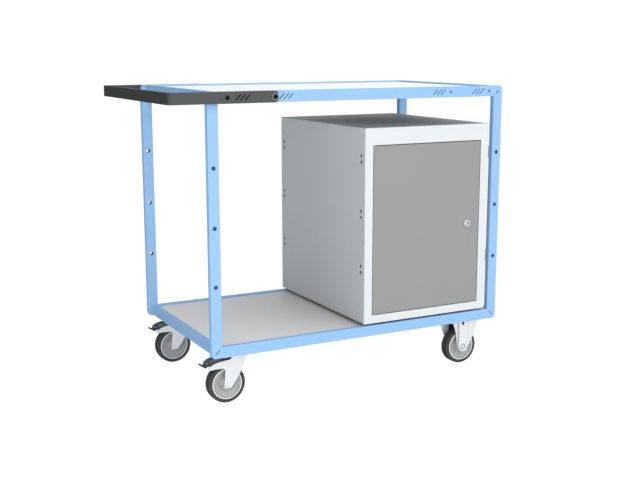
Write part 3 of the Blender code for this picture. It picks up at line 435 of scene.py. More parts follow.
def grain_group():
    """Node group: a cloudy tone and a fine grain, both on Object coordinates."""
    group = bpy.data.node_groups.new("Surface Grain", "ShaderNodeTree")
    sockets = group.interface
    sockets.new_socket("Colour", in_out="INPUT", socket_type="NodeSocketColor")
    for label in ("Tone", "Cloud Scale", "Grain Scale", "Grain Tone", "Roughness", "Roughness Spread"):
        sockets.new_socket(label, in_out="INPUT", socket_type="NodeSocketFloat")
    sockets.new_socket("Colour", in_out="OUTPUT", socket_type="NodeSocketColor")
    sockets.new_socket("Roughness", in_out="OUTPUT", socket_type="NodeSocketFloat")
    sockets.new_socket("Height", in_out="OUTPUT", socket_type="NodeSocketFloat")
    nodes = group.nodes
    links = group.links
    given = nodes.new("NodeGroupInput")
    made = nodes.new("NodeGroupOutput")
    place = nodes.new("ShaderNodeTexCoord")
    cloud = nodes.new("ShaderNodeTexNoise")
    cloud.inputs["Detail"].default_value = 4.0
    grain = nodes.new("ShaderNodeTexNoise")
    grain.inputs["Detail"].default_value = 2.0
    for noise, scale in ((cloud, "Cloud Scale"), (grain, "Grain Scale")):
        links.new(place.outputs["Object"], noise.inputs["Vector"])
        links.new(given.outputs[scale], noise.inputs["Scale"])

    def math_node(operation, first, second):
        node = nodes.new("ShaderNodeMath")
        node.operation = operation
        for socket, value in zip(node.inputs, (first, second)):
            if isinstance(value, bpy.types.NodeSocket):
                links.new(value, socket)
            else:
                socket.default_value = value
        return node.outputs[0]

    cloud_swing = math_node("SUBTRACT", cloud.outputs["Fac"], 0.5)
    grain_swing = math_node("SUBTRACT", grain.outputs["Fac"], 0.5)
    cloud_tone = math_node("MULTIPLY", cloud_swing, given.outputs["Tone"])
    grain_tone = math_node("MULTIPLY", grain_swing, given.outputs["Grain Tone"])
    tone = math_node("ADD", math_node("ADD", cloud_tone, grain_tone), 1.0)
    shade = nodes.new("ShaderNodeVectorMath")
    shade.operation = "SCALE"
    links.new(given.outputs["Colour"], shade.inputs[0])
    links.new(tone, shade.inputs["Scale"])
    links.new(shade.outputs[0], made.inputs["Colour"])
    spread = math_node("MULTIPLY", cloud_swing, given.outputs["Roughness Spread"])
    links.new(math_node("ADD", spread, given.outputs["Roughness"]), made.inputs["Roughness"])
    links.new(grain.outputs["Fac"], made.inputs["Height"])
    return group


def make_finish(name, colour, roughness, spread, tone, cloud_scale, grain_scale, grain_tone, bump,
                metallic=0.0, specular=0.5, coat=0.0):
    """A finish made from the grain group, with its own values."""
    finish = bpy.data.materials.new(f"{name}_finish")
    finish.use_nodes = True
    nodes = finish.node_tree.nodes
    links = finish.node_tree.links
    shader = nodes["Principled BSDF"]
    grain = nodes.new("ShaderNodeGroup")
    grain.node_tree = bpy.data.node_groups["Surface Grain"]
    values = {"Tone": tone, "Cloud Scale": cloud_scale, "Grain Scale": grain_scale, "Grain Tone": grain_tone,
              "Roughness": roughness, "Roughness Spread": spread}
    for label, value in values.items():
        grain.inputs[label].default_value = value
    grain.inputs["Colour"].default_value = (*colour, 1.0)
    relief = nodes.new("ShaderNodeBump")
    relief.inputs["Strength"].default_value = 0.6
    relief.inputs["Distance"].default_value = bump
    links.new(grain.outputs["Colour"], shader.inputs["Base Color"])
    links.new(grain.outputs["Roughness"], shader.inputs["Roughness"])
    links.new(grain.outputs["Height"], relief.inputs["Height"])
    links.new(relief.outputs["Normal"], shader.inputs["Normal"])
    shader.inputs["Metallic"].default_value = metallic
    shader.inputs["Specular IOR Level"].default_value = specular
    shader.inputs["Coat Weight"].default_value = coat
    shader.inputs["Coat Roughness"].default_value = 0.15
    finish.diffuse_color = (*colour, 1.0)
    return finish


class WORKBENCH_OT_finishes(bpy.types.Operator):
    """Make the finishes of every piece"""

    bl_idname = "workbench.finishes"
    bl_label = "Make Finishes"

    def execute(self, context):
        colours = context.scene.workbench.colours
        grain_group()
        make_finish("blue_paint", colours.blue, 0.42, 0.10, 0.05, 9.0, 1300.0, 0.03, 0.00012, specular=0.3)
        # Painted shade: thin blue paint inside the tubes, darkened to stand for the shade in the hollow.
        make_finish("tube_inside_shade", colours.inside, 0.70, 0.15, 0.30, 30.0, 600.0, 0.20, 0.0001, specular=0.2)
        # Painted shade for slot walls, recesses and holes.
        make_finish("hollow_shade", colours.bare, 0.70, 0.15, 0.30, 30.0, 600.0, 0.20, 0.0001, specular=0.2)
        make_finish("dark_paint", colours.dark, 0.30, 0.08, 0.10, 11.0, 1500.0, 0.14, 0.00012, specular=0.4)
        make_finish("white_paint", colours.white, 0.44, 0.08, 0.03, 7.0, 1300.0, 0.02, 0.00012, specular=0.3)
        # Painted shade: a darker copy of the white paint for the cabinet's sides and inner parts.
        make_finish("side_paint", colours.side, 0.44, 0.08, 0.04, 6.0, 1300.0, 0.02, 0.00012, specular=0.3)
        # Painted shade: darkened white paint for the cabinet's top under the worktop.
        make_finish("top_painted_shade", colours.top, 0.46, 0.08, 0.05, 6.0, 1300.0, 0.03, 0.00012, specular=0.3)
        make_finish("grey_paint", colours.grey, 0.46, 0.08, 0.04, 6.0, 1300.0, 0.03, 0.00012, specular=0.3)
        make_finish("white_board", colours.worktop, 0.34, 0.08, 0.03, 5.0, 700.0, 0.03, 0.00006, specular=0.3)
        make_finish("grey_board", colours.shelf, 0.46, 0.10, 0.06, 5.0, 800.0, 0.08, 0.00008, specular=0.3)
        make_finish("zinc", colours.zinc, 0.34, 0.12, 0.08, 60.0, 420.0, 0.06, 0.00004, metallic=0.42)
        make_finish("washer_zinc", colours.washer, 0.42, 0.12, 0.20, 90.0, 700.0, 0.12, 0.00005, metallic=0.5)
        make_finish("nickel", colours.nickel, 0.24, 0.10, 0.05, 80.0, 900.0, 0.03, 0.00002, metallic=1.0)
        make_finish("rubber", colours.rubber, 0.78, 0.12, 0.25, 30.0, 1100.0, 0.25, 0.0002, specular=0.3)
        make_finish("wheel_plastic", colours.wheel, 0.50, 0.10, 0.08, 30.0, 1400.0, 0.05, 0.0001)
        make_finish("rim_plastic", colours.rim, 0.38, 0.10, 0.04, 30.0, 1400.0, 0.03, 0.00006)
        make_finish("pedal_plastic", colours.pedal, 0.44, 0.12, 0.20, 40.0, 1500.0, 0.20, 0.00018)
        make_finish("black_plastic", colours.lever, 0.48, 0.12, 0.20, 40.0, 1500.0, 0.20, 0.00018)
        make_finish("black_bolt", colours.bolt, 0.70, 0.10, 0.20, 80.0, 1500.0, 0.10, 0.00005, specular=0.1)
        return {"FINISHED"}


# Trolley frame

def ring_solid(low, high, face, radius, edge):
    """A ring of flat tube in the XZ plane with mitred inner corners; radius rounds its outer corners."""
    size = high - low
    bm = bmesh.new()
    bmesh.ops.create_grid(bm, x_segments=1, y_segments=1, size=0.5)
    bmesh.ops.scale(bm, vec=(size.x, size.z, 1.0), verts=bm.verts)
    turn = Matrix.Rotation(math.radians(90), 4, "X")
    middle = Vector(((low.x + high.x) / 2, low.y, (low.z + high.z) / 2))
    bmesh.ops.transform(bm, matrix=Matrix.Translation(middle) @ turn, verts=bm.verts)
    field = bm.faces[:]
    bmesh.ops.inset_region(bm, faces=field, thickness=face, use_even_offset=True, use_boundary=True)
    bmesh.ops.delete(bm, geom=field, context="FACES")
    thicken(bm, bm.faces[:], (0, size.y, 0))
    outer = [found for found in lengthwise(bm, 1) if any(at(found, 0, x) for x in (low.x, high.x))
             and any(at(found, 2, z) for z in (low.z, high.z))]
    round_off(bm, outer, radius, 6)
    if edge:
        round_off(bm, side_creases(bm, 60), edge, 3)
    return bm


def hole_tool(place, radius, start, end, lip=0.0005):
    """A drill along Y whose ends flare a little, so a hole's rims are broken."""
    far = 0.004
    profile = [(0, start - far), (radius + lip, start - far), (radius + lip, start), (radius, start + lip),
               (radius, end - lip), (radius + lip, end), (radius + lip, end + far), (0, end + far)]
    return turned(profile, place, (0, 1, 0), 24)


def slot_tool(middle, length, width, lean, start, end):
    """A slot with round ends that leans in the XZ plane, cut along Y from start to end."""
    bm = soft_slab((-length / 2, start, -width / 2), (length / 2, end, width / 2), 1, width * 0.48)
    place = Matrix.Translation((middle[0], 0, middle[1])) @ Matrix.Rotation(-math.radians(lean), 4, "Y")
    bmesh.ops.transform(bm, matrix=place, verts=bm.verts)
    return bm


def slot_group(middle, sizes, width, mirror, start, end):
    """Three slanted slots side by side."""
    bm = bmesh.new()
    for step in (-1, 0, 1):
        spot = (middle[0] + step * sizes.slot_pitch, middle[1])
        gather(bm, slot_tool(spot, sizes.slot_length, width, 45 * mirror, start, end))
    return bm


class WORKBENCH_OT_rings(bpy.types.Operator):
    """Build the front and the rear ring of the trolley"""

    bl_idname = "workbench.rings"
    bl_label = "Build Rings"

    def execute(self, context):
        sizes = context.scene.workbench.tubes
        wall = sizes.wall
        inset = Vector((wall, wall, wall))
        clear = TUBE_FACE - 2 * wall
        rail_z = TOP - TUBE_FACE / 2
        for end, (low, high) in RINGS.items():
            front = end == "front"
            low = low.copy()
            high = high.copy()
            if front:
                high.y = low.y + sizes.depth
            else:
                low.y = high.y - sizes.depth
            ring = ring_solid(low, high, TUBE_FACE, sizes.corner, sizes.edge)
            ring = carve(ring, ring_solid(low + inset, high - inset, clear, sizes.corner - wall, 0))
            tools = bmesh.new()
            back = low.y + wall if front else high.y
            for x in (LEFT + TUBE_FACE / 2, RIGHT - TUBE_FACE / 2):
                for z in LEVELS:
                    gather(tools, hole_tool((x, 0, z), sizes.hole / 2, low.y, back))
            outside = low.y if front else high.y
            inward = 1 if front else -1
            start, stop = sorted((outside - inward * wall, outside + inward * wall * 1.6))
            for x in SLOT_GROUPS:
                for step in (-1.5, -0.5, 0.5, 1.5):
                    self.divide(ring, (LEFT + x + step * sizes.slot_pitch, 0, rail_z), (1, 0, -inward))
                gather(tools, slot_group((LEFT + x, rail_z), sizes, sizes.slot_width, inward, start, stop))
            for x in PIN_HOLES:
                for step in (-0.010, 0.010):
                    self.divide(ring, (LEFT + x + step, 0, rail_z), (1, 0, 0))
                place = (LEFT + x, 0, rail_z)
                gather(tools, hole_tool(place, sizes.pin_hole / 2, start + wall, stop, 0.0003))
            for x, across in ((LEFT, 1), (RIGHT, -1)):
                for z, up in ((BASE, 1), (TOP, -1)):
                    spot = (x + across * sizes.slit_inset, z + up * sizes.slit_inset)
                    lean = 45 * across * up
                    gather(tools, slot_tool(spot, sizes.slit_length, sizes.slit, lean, start, stop))
            ring = carve(ring, tools)
            self.shade_hollow(ring, low + inset, high - inset, clear)
            nodes = [f"{end}_{part}" for part in RING_PARTS]
            finish_piece(f"{end}_ring", ring, "frame", "blue_paint", nodes, ["blue_paint", "tube_inside_shade"])
        return {"FINISHED"}

    def divide(self, ring, place, across):
        """Split the top rail's faces with a plane, so that no face holds more than one opening."""
        foot = TOP - TUBE_FACE - 1e-4
        faces = [face for face in ring.faces if min(vert.co.z for vert in face.verts) > foot]
        edges = {edge for face in faces for edge in face.edges}
        verts = {vert for face in faces for vert in face.verts}
        bmesh.ops.bisect_plane(ring, geom=list(verts) + list(edges) + faces, plane_co=place, plane_no=across)

    def shade_hollow(self, ring, low, high, width):
        """Paint shade on a ring's hollow: its faces get the darkened tube-inside finish; low and high are its
        corners, width is its clear width.
        """
        near = 1e-5

        def hollow(spot):
            boxed = all(low[i] - near < spot[i] < high[i] + near for i in range(3))
            bay = all(low[i] + width + near < spot[i] < high[i] - width - near for i in (0, 2))
            return boxed and not bay

        for face in ring.faces:
            if all(hollow(vert.co) for vert in face.verts):
                face.material_index = 1


class WORKBENCH_OT_end_rails(bpy.types.Operator):
    """Build the four rails that join the rings, and the bearers under the boards"""

    bl_idname = "workbench.end_rails"
    bl_label = "Build End Rails"

    def execute(self, context):
        sizes = context.scene.workbench.tubes
        for side in ("left", "right"):
            for level in ("upper", "lower"):
                node = f"{side}_{level}_end_rail"
                bm = soft_slab(*span(node), 1, sizes.edge)
                finish_piece(f"{side}_{level}_rail", bm, "frame", "blue_paint", [node])
            for place in ("worktop", "caster"):
                node = f"{side}_{place}_bearer"
                bm = soft_slab(*span(node), 1, 0.0025)
                round_off(bm, creases(bm, 60), 0.0006, 2)
                finish_piece(f"{side}_{place}_beam", bm, "frame", "blue_paint", [node])
        return {"FINISHED"}


class WORKBENCH_OT_boards(bpy.types.Operator):
    """Build the worktop and the lower shelf"""

    bl_idname = "workbench.boards"
    bl_label = "Build Boards"

    def execute(self, context):
        for node, finish in (("worktop", "white_board"), ("lower_shelf", "grey_board")):
            low, high = span(node)
            bm = soft_slab(low, high, 2, 0.0015)
            round_off(bm, rim_at(bm, 2, high.z), 0.0012, 3)
            finish_piece(f"{node}_board", bm, "frame", finish, [node])
        return {"FINISHED"}


# Push handle

class WORKBENCH_OT_handle(bpy.types.Operator):
    """Build the push handle with its slots, washers and bolts"""

    bl_idname = "workbench.handle"
    bl_label = "Build Push Handle"

    def execute(self, context):
        sizes = context.scene.workbench.handle
        tubes = context.scene.workbench.tubes
        low, high = span("push_handle")
        low.x -= sizes.reach
        high = Vector((high.x + sizes.lap, high.y + sizes.reach, TOP + 0.0003))
        bar = slab(low, high)
        round_off(bar, [edge for edge in lengthwise(bar, 2) if at(edge, 0, low.x)], sizes.bend, 8)
        inside = slab((low.x + sizes.bar, low.y + sizes.bar, low.z - 0.01),
                      (high.x + 0.01, high.y - sizes.bar, high.z + 0.01))
        corners = [edge for edge in lengthwise(inside, 2) if at(edge, 0, low.x + sizes.bar)]
        round_off(inside, corners, max(sizes.bend - sizes.bar, 0.0015), 8)
        bar = carve(bar, inside)
        round_off(bar, [edge for edge in lengthwise(bar, 1) if at(edge, 0, high.x)], sizes.leg_end, 5)
        rims = [edge for edge in creases(bar, 50)
                if at(edge, 2, low.z) or at(edge, 2, high.z) or not along(edge, 2)]
        round_off(bar, rims, sizes.edge, 2)
        bolt_low, bolt_high = span("front_handle_bolt")
        bolt_x = (bolt_low.x + bolt_high.x) / 2 + sizes.lap
        bolt_z = (bolt_low.z + bolt_high.z) / 2
        slots_x = LEFT + HANDLE_SLOTS
        tools = bmesh.new()
        for face, inward in ((low.y, 1), (high.y, -1)):
            start, stop = sorted((face - inward * 0.002, face + inward * 0.004))
            gather(tools, slot_group((slots_x, bolt_z), tubes, sizes.slot_width, inward, start, stop))
        bar = carve(bar, tools)
        # Painted shade: the slots' walls and floors get the black bolt finish, so the slots read dark.
        for face in bar.faces:
            spot = face.calc_center_median()
            depth = min(spot.y - low.y, high.y - spot.y)
            if abs(spot.x - slots_x) < 0.04 and abs(spot.z - bolt_z) < 0.011 and 1e-4 < depth < 0.006:
                face.material_index = 1
        finish_piece("handle_bar", bar, "frame", "dark_paint", ["push_handle"], ["dark_paint", "black_bolt"])
        for end, face, outward in (("front", low.y, -1), ("rear", high.y, 1)):
            self.washer(end, sizes, Vector((bolt_x, face, bolt_z)), outward)
            self.black_bolt(end, sizes, Vector((LEFT + HANDLE_BOLT, face, bolt_z)), outward)
        return {"FINISHED"}

    def washer(self, end, sizes, place, outward):
        """A zinc washer and a black round-headed bolt with a hexagon socket at the leg's end."""
        radius = sizes.washer / 2
        head = radius * 0.66
        socket = 0.0012
        profile = [(0, 0.0002), (radius, 0.0002), (radius, 0.0013), (radius - 0.0005, 0.0018), (head, 0.0018),
                   (head - 0.0003, 0.0028), (head - 0.0018, 0.0034), (0, 0.0035)]
        bm = turned(profile, place, (0, outward, 0), 40)
        bm = carve(bm, hexagon(0.0062, place, (0, outward, 0), socket, 0.006, 0.0002))
        for face in bm.faces:
            offset = face.calc_center_median() - place
            proud = offset.y * outward
            offset.y = 0
            if proud > socket - 0.0002 and offset.length < head:
                face.material_index = 1
        finishes = ["washer_zinc", "black_bolt"]
        finish_piece(f"{end}_handle_washer", bm, "frame", "zinc", [f"{end}_handle_bolt"], finishes)

    def black_bolt(self, end, sizes, place, outward):
        """A black button-head bolt near the post."""
        radius = sizes.black_bolt / 2
        profile = [(0, 0.0001), (radius, 0.0001), (radius, 0.0008), (radius * 0.88, 0.0021),
                   (radius * 0.60, 0.0030), (0, 0.0033)]
        bm = turned(profile, place, (0, outward, 0), 32)
        bm = carve(bm, hexagon(0.004, place, (0, outward, 0), 0.001, 0.006, 0.0001))
        finish_piece(f"{end}_handle_black_bolt", bm, "frame", "dark_paint", finishes=["black_bolt"])


# Cabinet

class WORKBENCH_OT_cabinet(bpy.types.Operator):
    """Build the cabinet: front frame, back, shell with its feet, inner shelf and the brackets at the posts"""

    bl_idname = "workbench.cabinet"
    bl_label = "Build Cabinet"

    def execute(self, context):
        sizes = context.scene.workbench.cabinet
        low = CABINET_LOW.copy()
        low.z += sizes.lift
        high = CABINET_HIGH
        self.front_frame(sizes, low, high)
        back = slab((low.x, high.y - sizes.sheet, low.z), high)
        round_off(back, rim_at(back, 1, high.y), sizes.sheet * 0.9, 3)
        finish_piece("cabinet_rear_panel", back, "frame", "side_paint", ["cabinet_back"])
        self.shell(sizes, low, high)
        self.inner_shelf(sizes, low, high)
        for end, inward in (("front", 1), ("rear", -1)):
            for level in ("upper", "lower"):
                self.bracket(f"{end}_{level}_bracket", high, inward)
        return {"FINISHED"}

    def shell(self, sizes, low, high):
        """Sides, top and base as one folded sheet, with the slots in the sides and two feet."""
        sheet = sizes.sheet
        gap = 0.0002
        front = low.y + sheet + gap
        rear = high.y - sheet - gap
        shell = soft_slab((low.x, front, low.z), (high.x, rear, high.z), 1, sizes.fold, 4)
        inside = soft_slab((low.x + sheet, front - 0.01, low.z + sheet),
                           (high.x - sheet, rear + 0.01, high.z - sheet), 1, sizes.fold - sheet, 4)
        shell = carve(shell, inside)
        slots = bmesh.new()
        reach = Vector((0.01, sizes.slot_width / 2, sizes.slot_height / 2))
        for level in LEVELS:
            for step in (-0.5, 0.5):
                z = level + step * sizes.slot_pitch
                for y in (low.y + sizes.slot_inset, high.y - sizes.slot_inset):
                    ends = (Vector((low.x, y, z)) - reach, Vector((high.x, y, z)) + reach)
                    gather(slots, soft_slab(*ends, 0, sizes.slot_width * 0.3, 2))
        shell = carve(shell, slots)
        base_low, base_high = span("cabinet_base")
        inset = Vector((0.022, 0.0762))
        width = 0.030
        for y in (base_low.y + inset.y, base_high.y - inset.y - width):
            foot = slab((low.x + inset.x, y, base_low.z), (high.x - inset.x, y + width, low.z + sheet / 2))
            round_off(foot, [edge for edge in foot.edges if at(edge, 2, base_low.z)], 0.002, 3)
            shell = carve(shell, foot, "UNION")
        for face in shell.faces:
            spot = face.calc_center_median()
            deep = min(spot.x - low.x, high.x - spot.x)
            amid = low.z + 0.02 < spot.z < high.z - 0.02 and front + 0.01 < spot.y < rear - 0.01
            # Painted shade: the top's upward faces get the darkened top finish.
            if face.normal.z > 0.8 and spot.z > high.z - 0.001:
                face.material_index = 1
            # Painted shade: the cut walls of the slots in the sides get the dark hole-shade finish.
            elif amid and 0.0001 < deep < sheet - 0.0001:
                face.material_index = 2
        nodes = ["cabinet_left_side", "cabinet_right_side", "cabinet_top", "cabinet_base"]
        finishes = ["side_paint", "top_painted_shade", "hollow_shade"]
        finish_piece("cabinet_shell", shell, "frame", "side_paint", nodes, finishes)

    def inner_shelf(self, sizes, low, high):
        """Folded shelf inside the cabinet, with hooks that reach into the slots of the sides."""
        sheet = 0.0012
        clear = Vector((0.0030, 0.012, 0))
        start, stop = span("cabinet_inner_shelf")
        start += clear
        stop -= clear
        tray = soft_slab(start, stop, 2, 0.002)
        round_off(tray, rim_at(tray, 2, stop.z), 0.0016, 3)
        inset = Vector((sheet, sheet, 0))
        tray = carve(tray, slab(start + inset - Vector((0, 0, 0.01)), stop - inset - Vector((0, 0, sheet))))
        middle = LEVELS[1]
        for outside, end in ((low.x + 0.0008, start.x + sheet), (high.x - 0.0008, stop.x - sheet)):
            left, right = sorted((outside, end))
            for slot_y, edge_y in ((low.y + sizes.slot_inset, start.y), (high.y - sizes.slot_inset, stop.y)):
                near, far = sorted((slot_y, edge_y))
                hook = slab((left, near - 0.002, middle - 0.005), (right, far + 0.004, middle + 0.005))
                round_off(hook, hook.edges, 0.0005, 2)
                tray = carve(tray, hook, "UNION")
        finish_piece("cabinet_shelf_tray", tray, "frame", "side_paint", ["cabinet_inner_shelf"])

    def bracket(self, node, high, inward):
        """Bent angle between the cabinet's right side and a post."""
        sheet = 0.0025
        start, stop = span(node)
        near = start.y if inward > 0 else stop.y
        back = near + inward * sheet
        lap = stop.y if inward > 0 else start.y
        wall = high.x + 0.0001
        points = [(wall, near, 0.0038), (stop.x, near, 0), (stop.x, back, 0), (wall + sheet, back, 0.0014),
                  (wall + sheet, lap, 0), (wall, lap, 0)]
        bm = outlined(points, "Z", start.z, stop.z)
        ends = [edge for edge in lengthwise(bm, 1) if at(edge, 0, stop.x)]
        ends += [edge for edge in lengthwise(bm, 0) if at(edge, 1, lap)]
        round_off(bm, ends, 0.006, 5)
        round_off(bm, creases(bm, 60), 0.0004, 2)
        finish_piece(node.replace("bracket", "angle"), bm, "frame", "side_paint", [node])

    def front_frame(self, sizes, low, high):
        """The white frame round the door, with its folded edges and the collar that the door shuts into."""
        sheet = sizes.sheet
        gap = 0.0025
        depth = 0.020
        plate = soft_slab(low, (high.x, low.y + sheet, high.z), 1, 0.0018)
        round_off(plate, rim_at(plate, 1, low.y), sheet * 0.8, 3)
        low_hole = Vector((DOOR_LOW.x - gap, low.y, DOOR_LOW.z - gap))
        high_hole = Vector((DOOR_HIGH.x + gap, low.y + depth, DOOR_HIGH.z + gap))
        collar = slab(low_hole - Vector((sheet, -sheet / 2, sheet)), high_hole + Vector((sheet, 0, sheet)))
        plate = carve(plate, collar, "UNION")
        beyond = Vector((0, 0.01, 0))
        plate = carve(plate, soft_slab(low_hole - beyond, high_hole + beyond, 1, 0.001, 2))
        round_off(plate, rim_at(plate, 1, low.y), 0.0007, 2)
        finish_piece("cabinet_front", plate, "frame", "white_paint", ["cabinet_face_frame"])


class WORKBENCH_OT_door(bpy.types.Operator):
    """Build the door: the leaf with its folded edges, the stiffener behind it and the hinge pins"""

    bl_idname = "workbench.door"
    bl_label = "Build Door"

    def execute(self, context):
        sheet = 0.0012
        self.leaf(context.scene.workbench.cabinet, sheet)
        self.stiffener(DOOR_LOW.y + sheet)
        for level in ("lower", "upper"):
            start, stop = span(f"{level}_hinge_pin")
            radius = (stop.x - start.x) / 2
            soft = radius * 0.3
            profile = [(0, start.z), (radius - soft, start.z), (radius, start.z + soft),
                       (radius, stop.z - soft), (radius - soft, stop.z), (0, stop.z)]
            place = ((start.x + stop.x) / 2, (start.y + stop.y) / 2, 0)
            pin = turned(profile, place, (0, 0, 1), 24)
            finish_piece(f"{level}_hinge_rod", pin, "door", "zinc", [f"{level}_hinge_pin"])
        return {"FINISHED"}

    def leaf(self, sizes, sheet):
        """A tray of folded sheet with a lip round its back and the lock's hole."""
        low = DOOR_LOW
        high = DOOR_HIGH
        leaf = soft_slab(low, high, 1, 0.0012)
        round_off(leaf, rim_at(leaf, 1, low.y), sizes.door_fold, 4)
        inset = Vector((sheet, sheet, sheet))
        leaf = carve(leaf, slab(low + inset, high - inset))
        lip = sizes.door_lip
        window = soft_slab((low.x + lip, high.y - 3 * sheet, low.z + lip),
                           (high.x - lip, high.y + 0.01, high.z - lip), 1, 0.004)
        leaf = carve(leaf, window)
        leaf = carve(leaf, hole_tool((LOCK_X, 0, LOCK_Z), 0.0097, low.y, low.y + sheet, 0.0001))
        finish_piece("door_leaf", leaf, "door", "grey_paint", ["door_panel"])

    def stiffener(self, front):
        """An upright hat section on the back of the leaf's face."""
        middle = (DOOR_LOW.x + DOOR_HIGH.x) / 2
        back = DOOR_HIGH.y - 0.0016
        flange = front + 0.0012
        inset = 0.014
        points = [(middle - 0.032, front, 0), (middle + 0.032, front, 0), (middle + 0.022, flange, 0.001),
                  (middle + 0.016, back, 0.002), (middle - 0.016, back, 0.002),
                  (middle - 0.022, flange, 0.001)]
        hat = outlined(points, "Z", DOOR_LOW.z + inset, DOOR_HIGH.z - inset)
        finish_piece("door_stiffener", hat, "door", "grey_paint")


class WORKBENCH_OT_lock(bpy.types.Operator):
    """Build the lock: housing, plug with its keyway, and cam"""

    bl_idname = "workbench.lock"
    bl_label = "Build Lock"

    def execute(self, context):
        face = DOOR_LOW.y
        place = Vector((LOCK_X, face, LOCK_Z))
        back = LOCK_HIGH.y - face
        bore = 0.0064
        housing = [(bore, 0.0027), (bore + 0.0007, 0.0034), (0.0105, 0.0035), (0.0118, 0.0031),
                   (0.0131, 0.0016), (0.0135, 0.0006), (0.0135, 0.0003), (0.0095, 0.0003), (0.0095, -back),
                   (bore, -back)]
        bm = turned(housing, place, (0, -1, 0), 48)
        finish_piece("lock_barrel", bm, "door", "nickel", ["lock_housing"])
        depth = span("lock_plug")[1].y - face
        plug = [(0, 0.0016), (0.0052, 0.0016), (0.0058, 0.0012), (0.0060, 0.0006), (0.0060, -depth),
                (0, -depth)]
        bm = turned(plug, place, (0, -1, 0), 40)
        key = soft_slab((LOCK_X - 0.0011, face - 0.01, LOCK_Z - 0.0042),
                        (LOCK_X + 0.0011, face + 0.006, LOCK_Z + 0.0042), 1, 0.0004, 2)
        bm = carve(bm, key)
        finish_piece("lock_cylinder", bm, "lock", "nickel", ["lock_plug"])
        cam_low, cam_high = span("lock_cam")
        half = (cam_high.x - cam_low.x) / 2
        points = [(LOCK_X - half, cam_low.z, 0.004), (LOCK_X + half, cam_low.z, 0.004),
                  (LOCK_X + half, cam_high.z, half * 0.97), (LOCK_X - half, cam_high.z, half * 0.97)]
        cam = outlined(points, "Y", cam_low.y, cam_high.y)
        round_off(cam, creases(cam, 60), 0.0004, 2)
        nut = hexagon(0.010, (LOCK_X, cam_high.y, LOCK_Z), (0, 1, 0), -0.0005, 0.005)
        cam = carve(cam, nut, "UNION")
        finish_piece("lock_tongue", cam, "lock", "zinc", ["lock_cam"])
        return {"FINISHED"}


# Casters

PLATE_SHEET = 0.004


def fork_body(tag):
    """Body that carries a caster's fork: its swivel or, on a fixed caster, the trolley's frame."""
    swivel = f"{tag}_swivel"
    return swivel if swivel in frame["bodies"] else "frame"


def axle_of(tag):
    """Centre of a wheel."""
    low, high = span(f"{tag}_tyre")
    return (low + high) / 2


def beside(axle, corners, hand=1):
    """Corners of (across, up, round) millimetres from an axle, in metres; hand is -1 for a turned image."""
    return [(axle.x + hand * x * MM, axle.z + z * MM, cut * MM) for x, z, cut in corners]


def mirrored(side):
    """A half profile of (radius, along) points followed by its mirror image."""
    return side + [(radius, -step) for radius, step in reversed(side)]


def build_wheel(tag, sizes):
    """Tyre and wheel centre with its rim ring, dished disc and hub."""
    body = f"{tag}_wheel"
    low, high = span(f"{tag}_tyre")
    centre = (low + high) / 2
    radius = (high.z - low.z) / 2
    half = (high.y - low.y) / 2
    rim = radius - sizes.tread
    soft = sizes.shoulder
    side = [(rim + 0.0002, -half + 0.003), (rim + 0.0006, -half), (radius - soft - 0.001, -half)]
    for step in range(1, 6):
        angle = math.radians(90 * step / 5)
        side.append((radius - soft - 0.0004 + soft * math.sin(angle), -half + soft - soft * math.cos(angle)))
    side.append((radius, -half * 0.35))
    tyre = turned(mirrored(side), centre, (0, 1, 0), 64)
    finish_piece(f"{tag}_tyre_ring", tyre, body, "rubber", [f"{tag}_tyre"])
    band = rim - sizes.rim
    side = [(0.0064, -0.0192), (0.0150, -0.0192), (0.0164, -0.0182), (0.0170, -0.0160), (0.0212, -0.0160),
            (0.0222, -0.0152), (0.0228, -0.0104), (0.0240, -0.0088), (0.0256, -0.0092), (0.0340, -0.0104),
            (0.0400, -0.0134), (0.0436, -0.0142), (band - 0.0006, -half + 0.0034), (band, -half + 0.0004),
            (band + 0.0008, -half - 0.0003), (rim - 0.0006, -half - 0.0003), (rim, -half + 0.0004)]
    centre_solid = turned(mirrored(side), centre, (0, 1, 0), 64)
    for face in centre_solid.faces:
        offset = face.calc_center_median() - centre
        offset.y = 0
        if offset.length > band - 0.0002:
            face.material_index = 1
    finishes = ["wheel_plastic", "rim_plastic"]
    nodes = [f"{tag}_wheel_centre"]
    finish_piece(f"{tag}_wheel_disc", centre_solid, body, "wheel_plastic", nodes, finishes, 30)


def build_axle(tag):
    """Axle with riveted ends on a swivel caster, or with a nut over a washer at both ends on a fixed one."""
    body = fork_body(tag)
    low, high = span(f"{tag}_axle")
    centre = (low + high) / 2
    half = (high.y - low.y) / 2
    seat = 0.0237
    bolt = rod(0.0059, -seat, seat, centre, (0, 1, 0))
    for outward in (-1, 1):
        axis = (0, outward, 0)
        if body == "frame":
            washer = turned([(0, seat - 0.0002), (0.0093, seat - 0.0002), (0.0093, seat + 0.0008),
                             (0.0089, seat + 0.0012), (0, seat + 0.0012)], centre, axis, 40)
            head = hexagon(0.0130, centre, axis, seat + 0.0008, half - 0.0015, 0.0009)
            dome = turned([(0, half - 0.003), (0.0054, half - 0.003), (0.0050, half - 0.0012),
                           (0.0034, half - 0.0002), (0, half)], centre, axis, 32)
            gather(bolt, washer, head, dome)
        else:
            rivet = turned([(0, seat - 0.0006), (0.0072, seat - 0.0006), (0.0070, seat + 0.0008),
                            (0.0052, seat + 0.0014), (0.0020, seat + 0.0010), (0, seat + 0.0010)],
                           centre, axis, 40)
            gather(bolt, rivet)
    finish_piece(f"{tag}_axle_bolt", bolt, body, "zinc", [f"{tag}_axle"])


def top_plate(low, high):
    """A mounting plate with rounded corners and broken edges."""
    bm = soft_slab(low, high, 2, 0.008, 5)
    return round_off(bm, creases(bm, 60), 0.0006, 2)


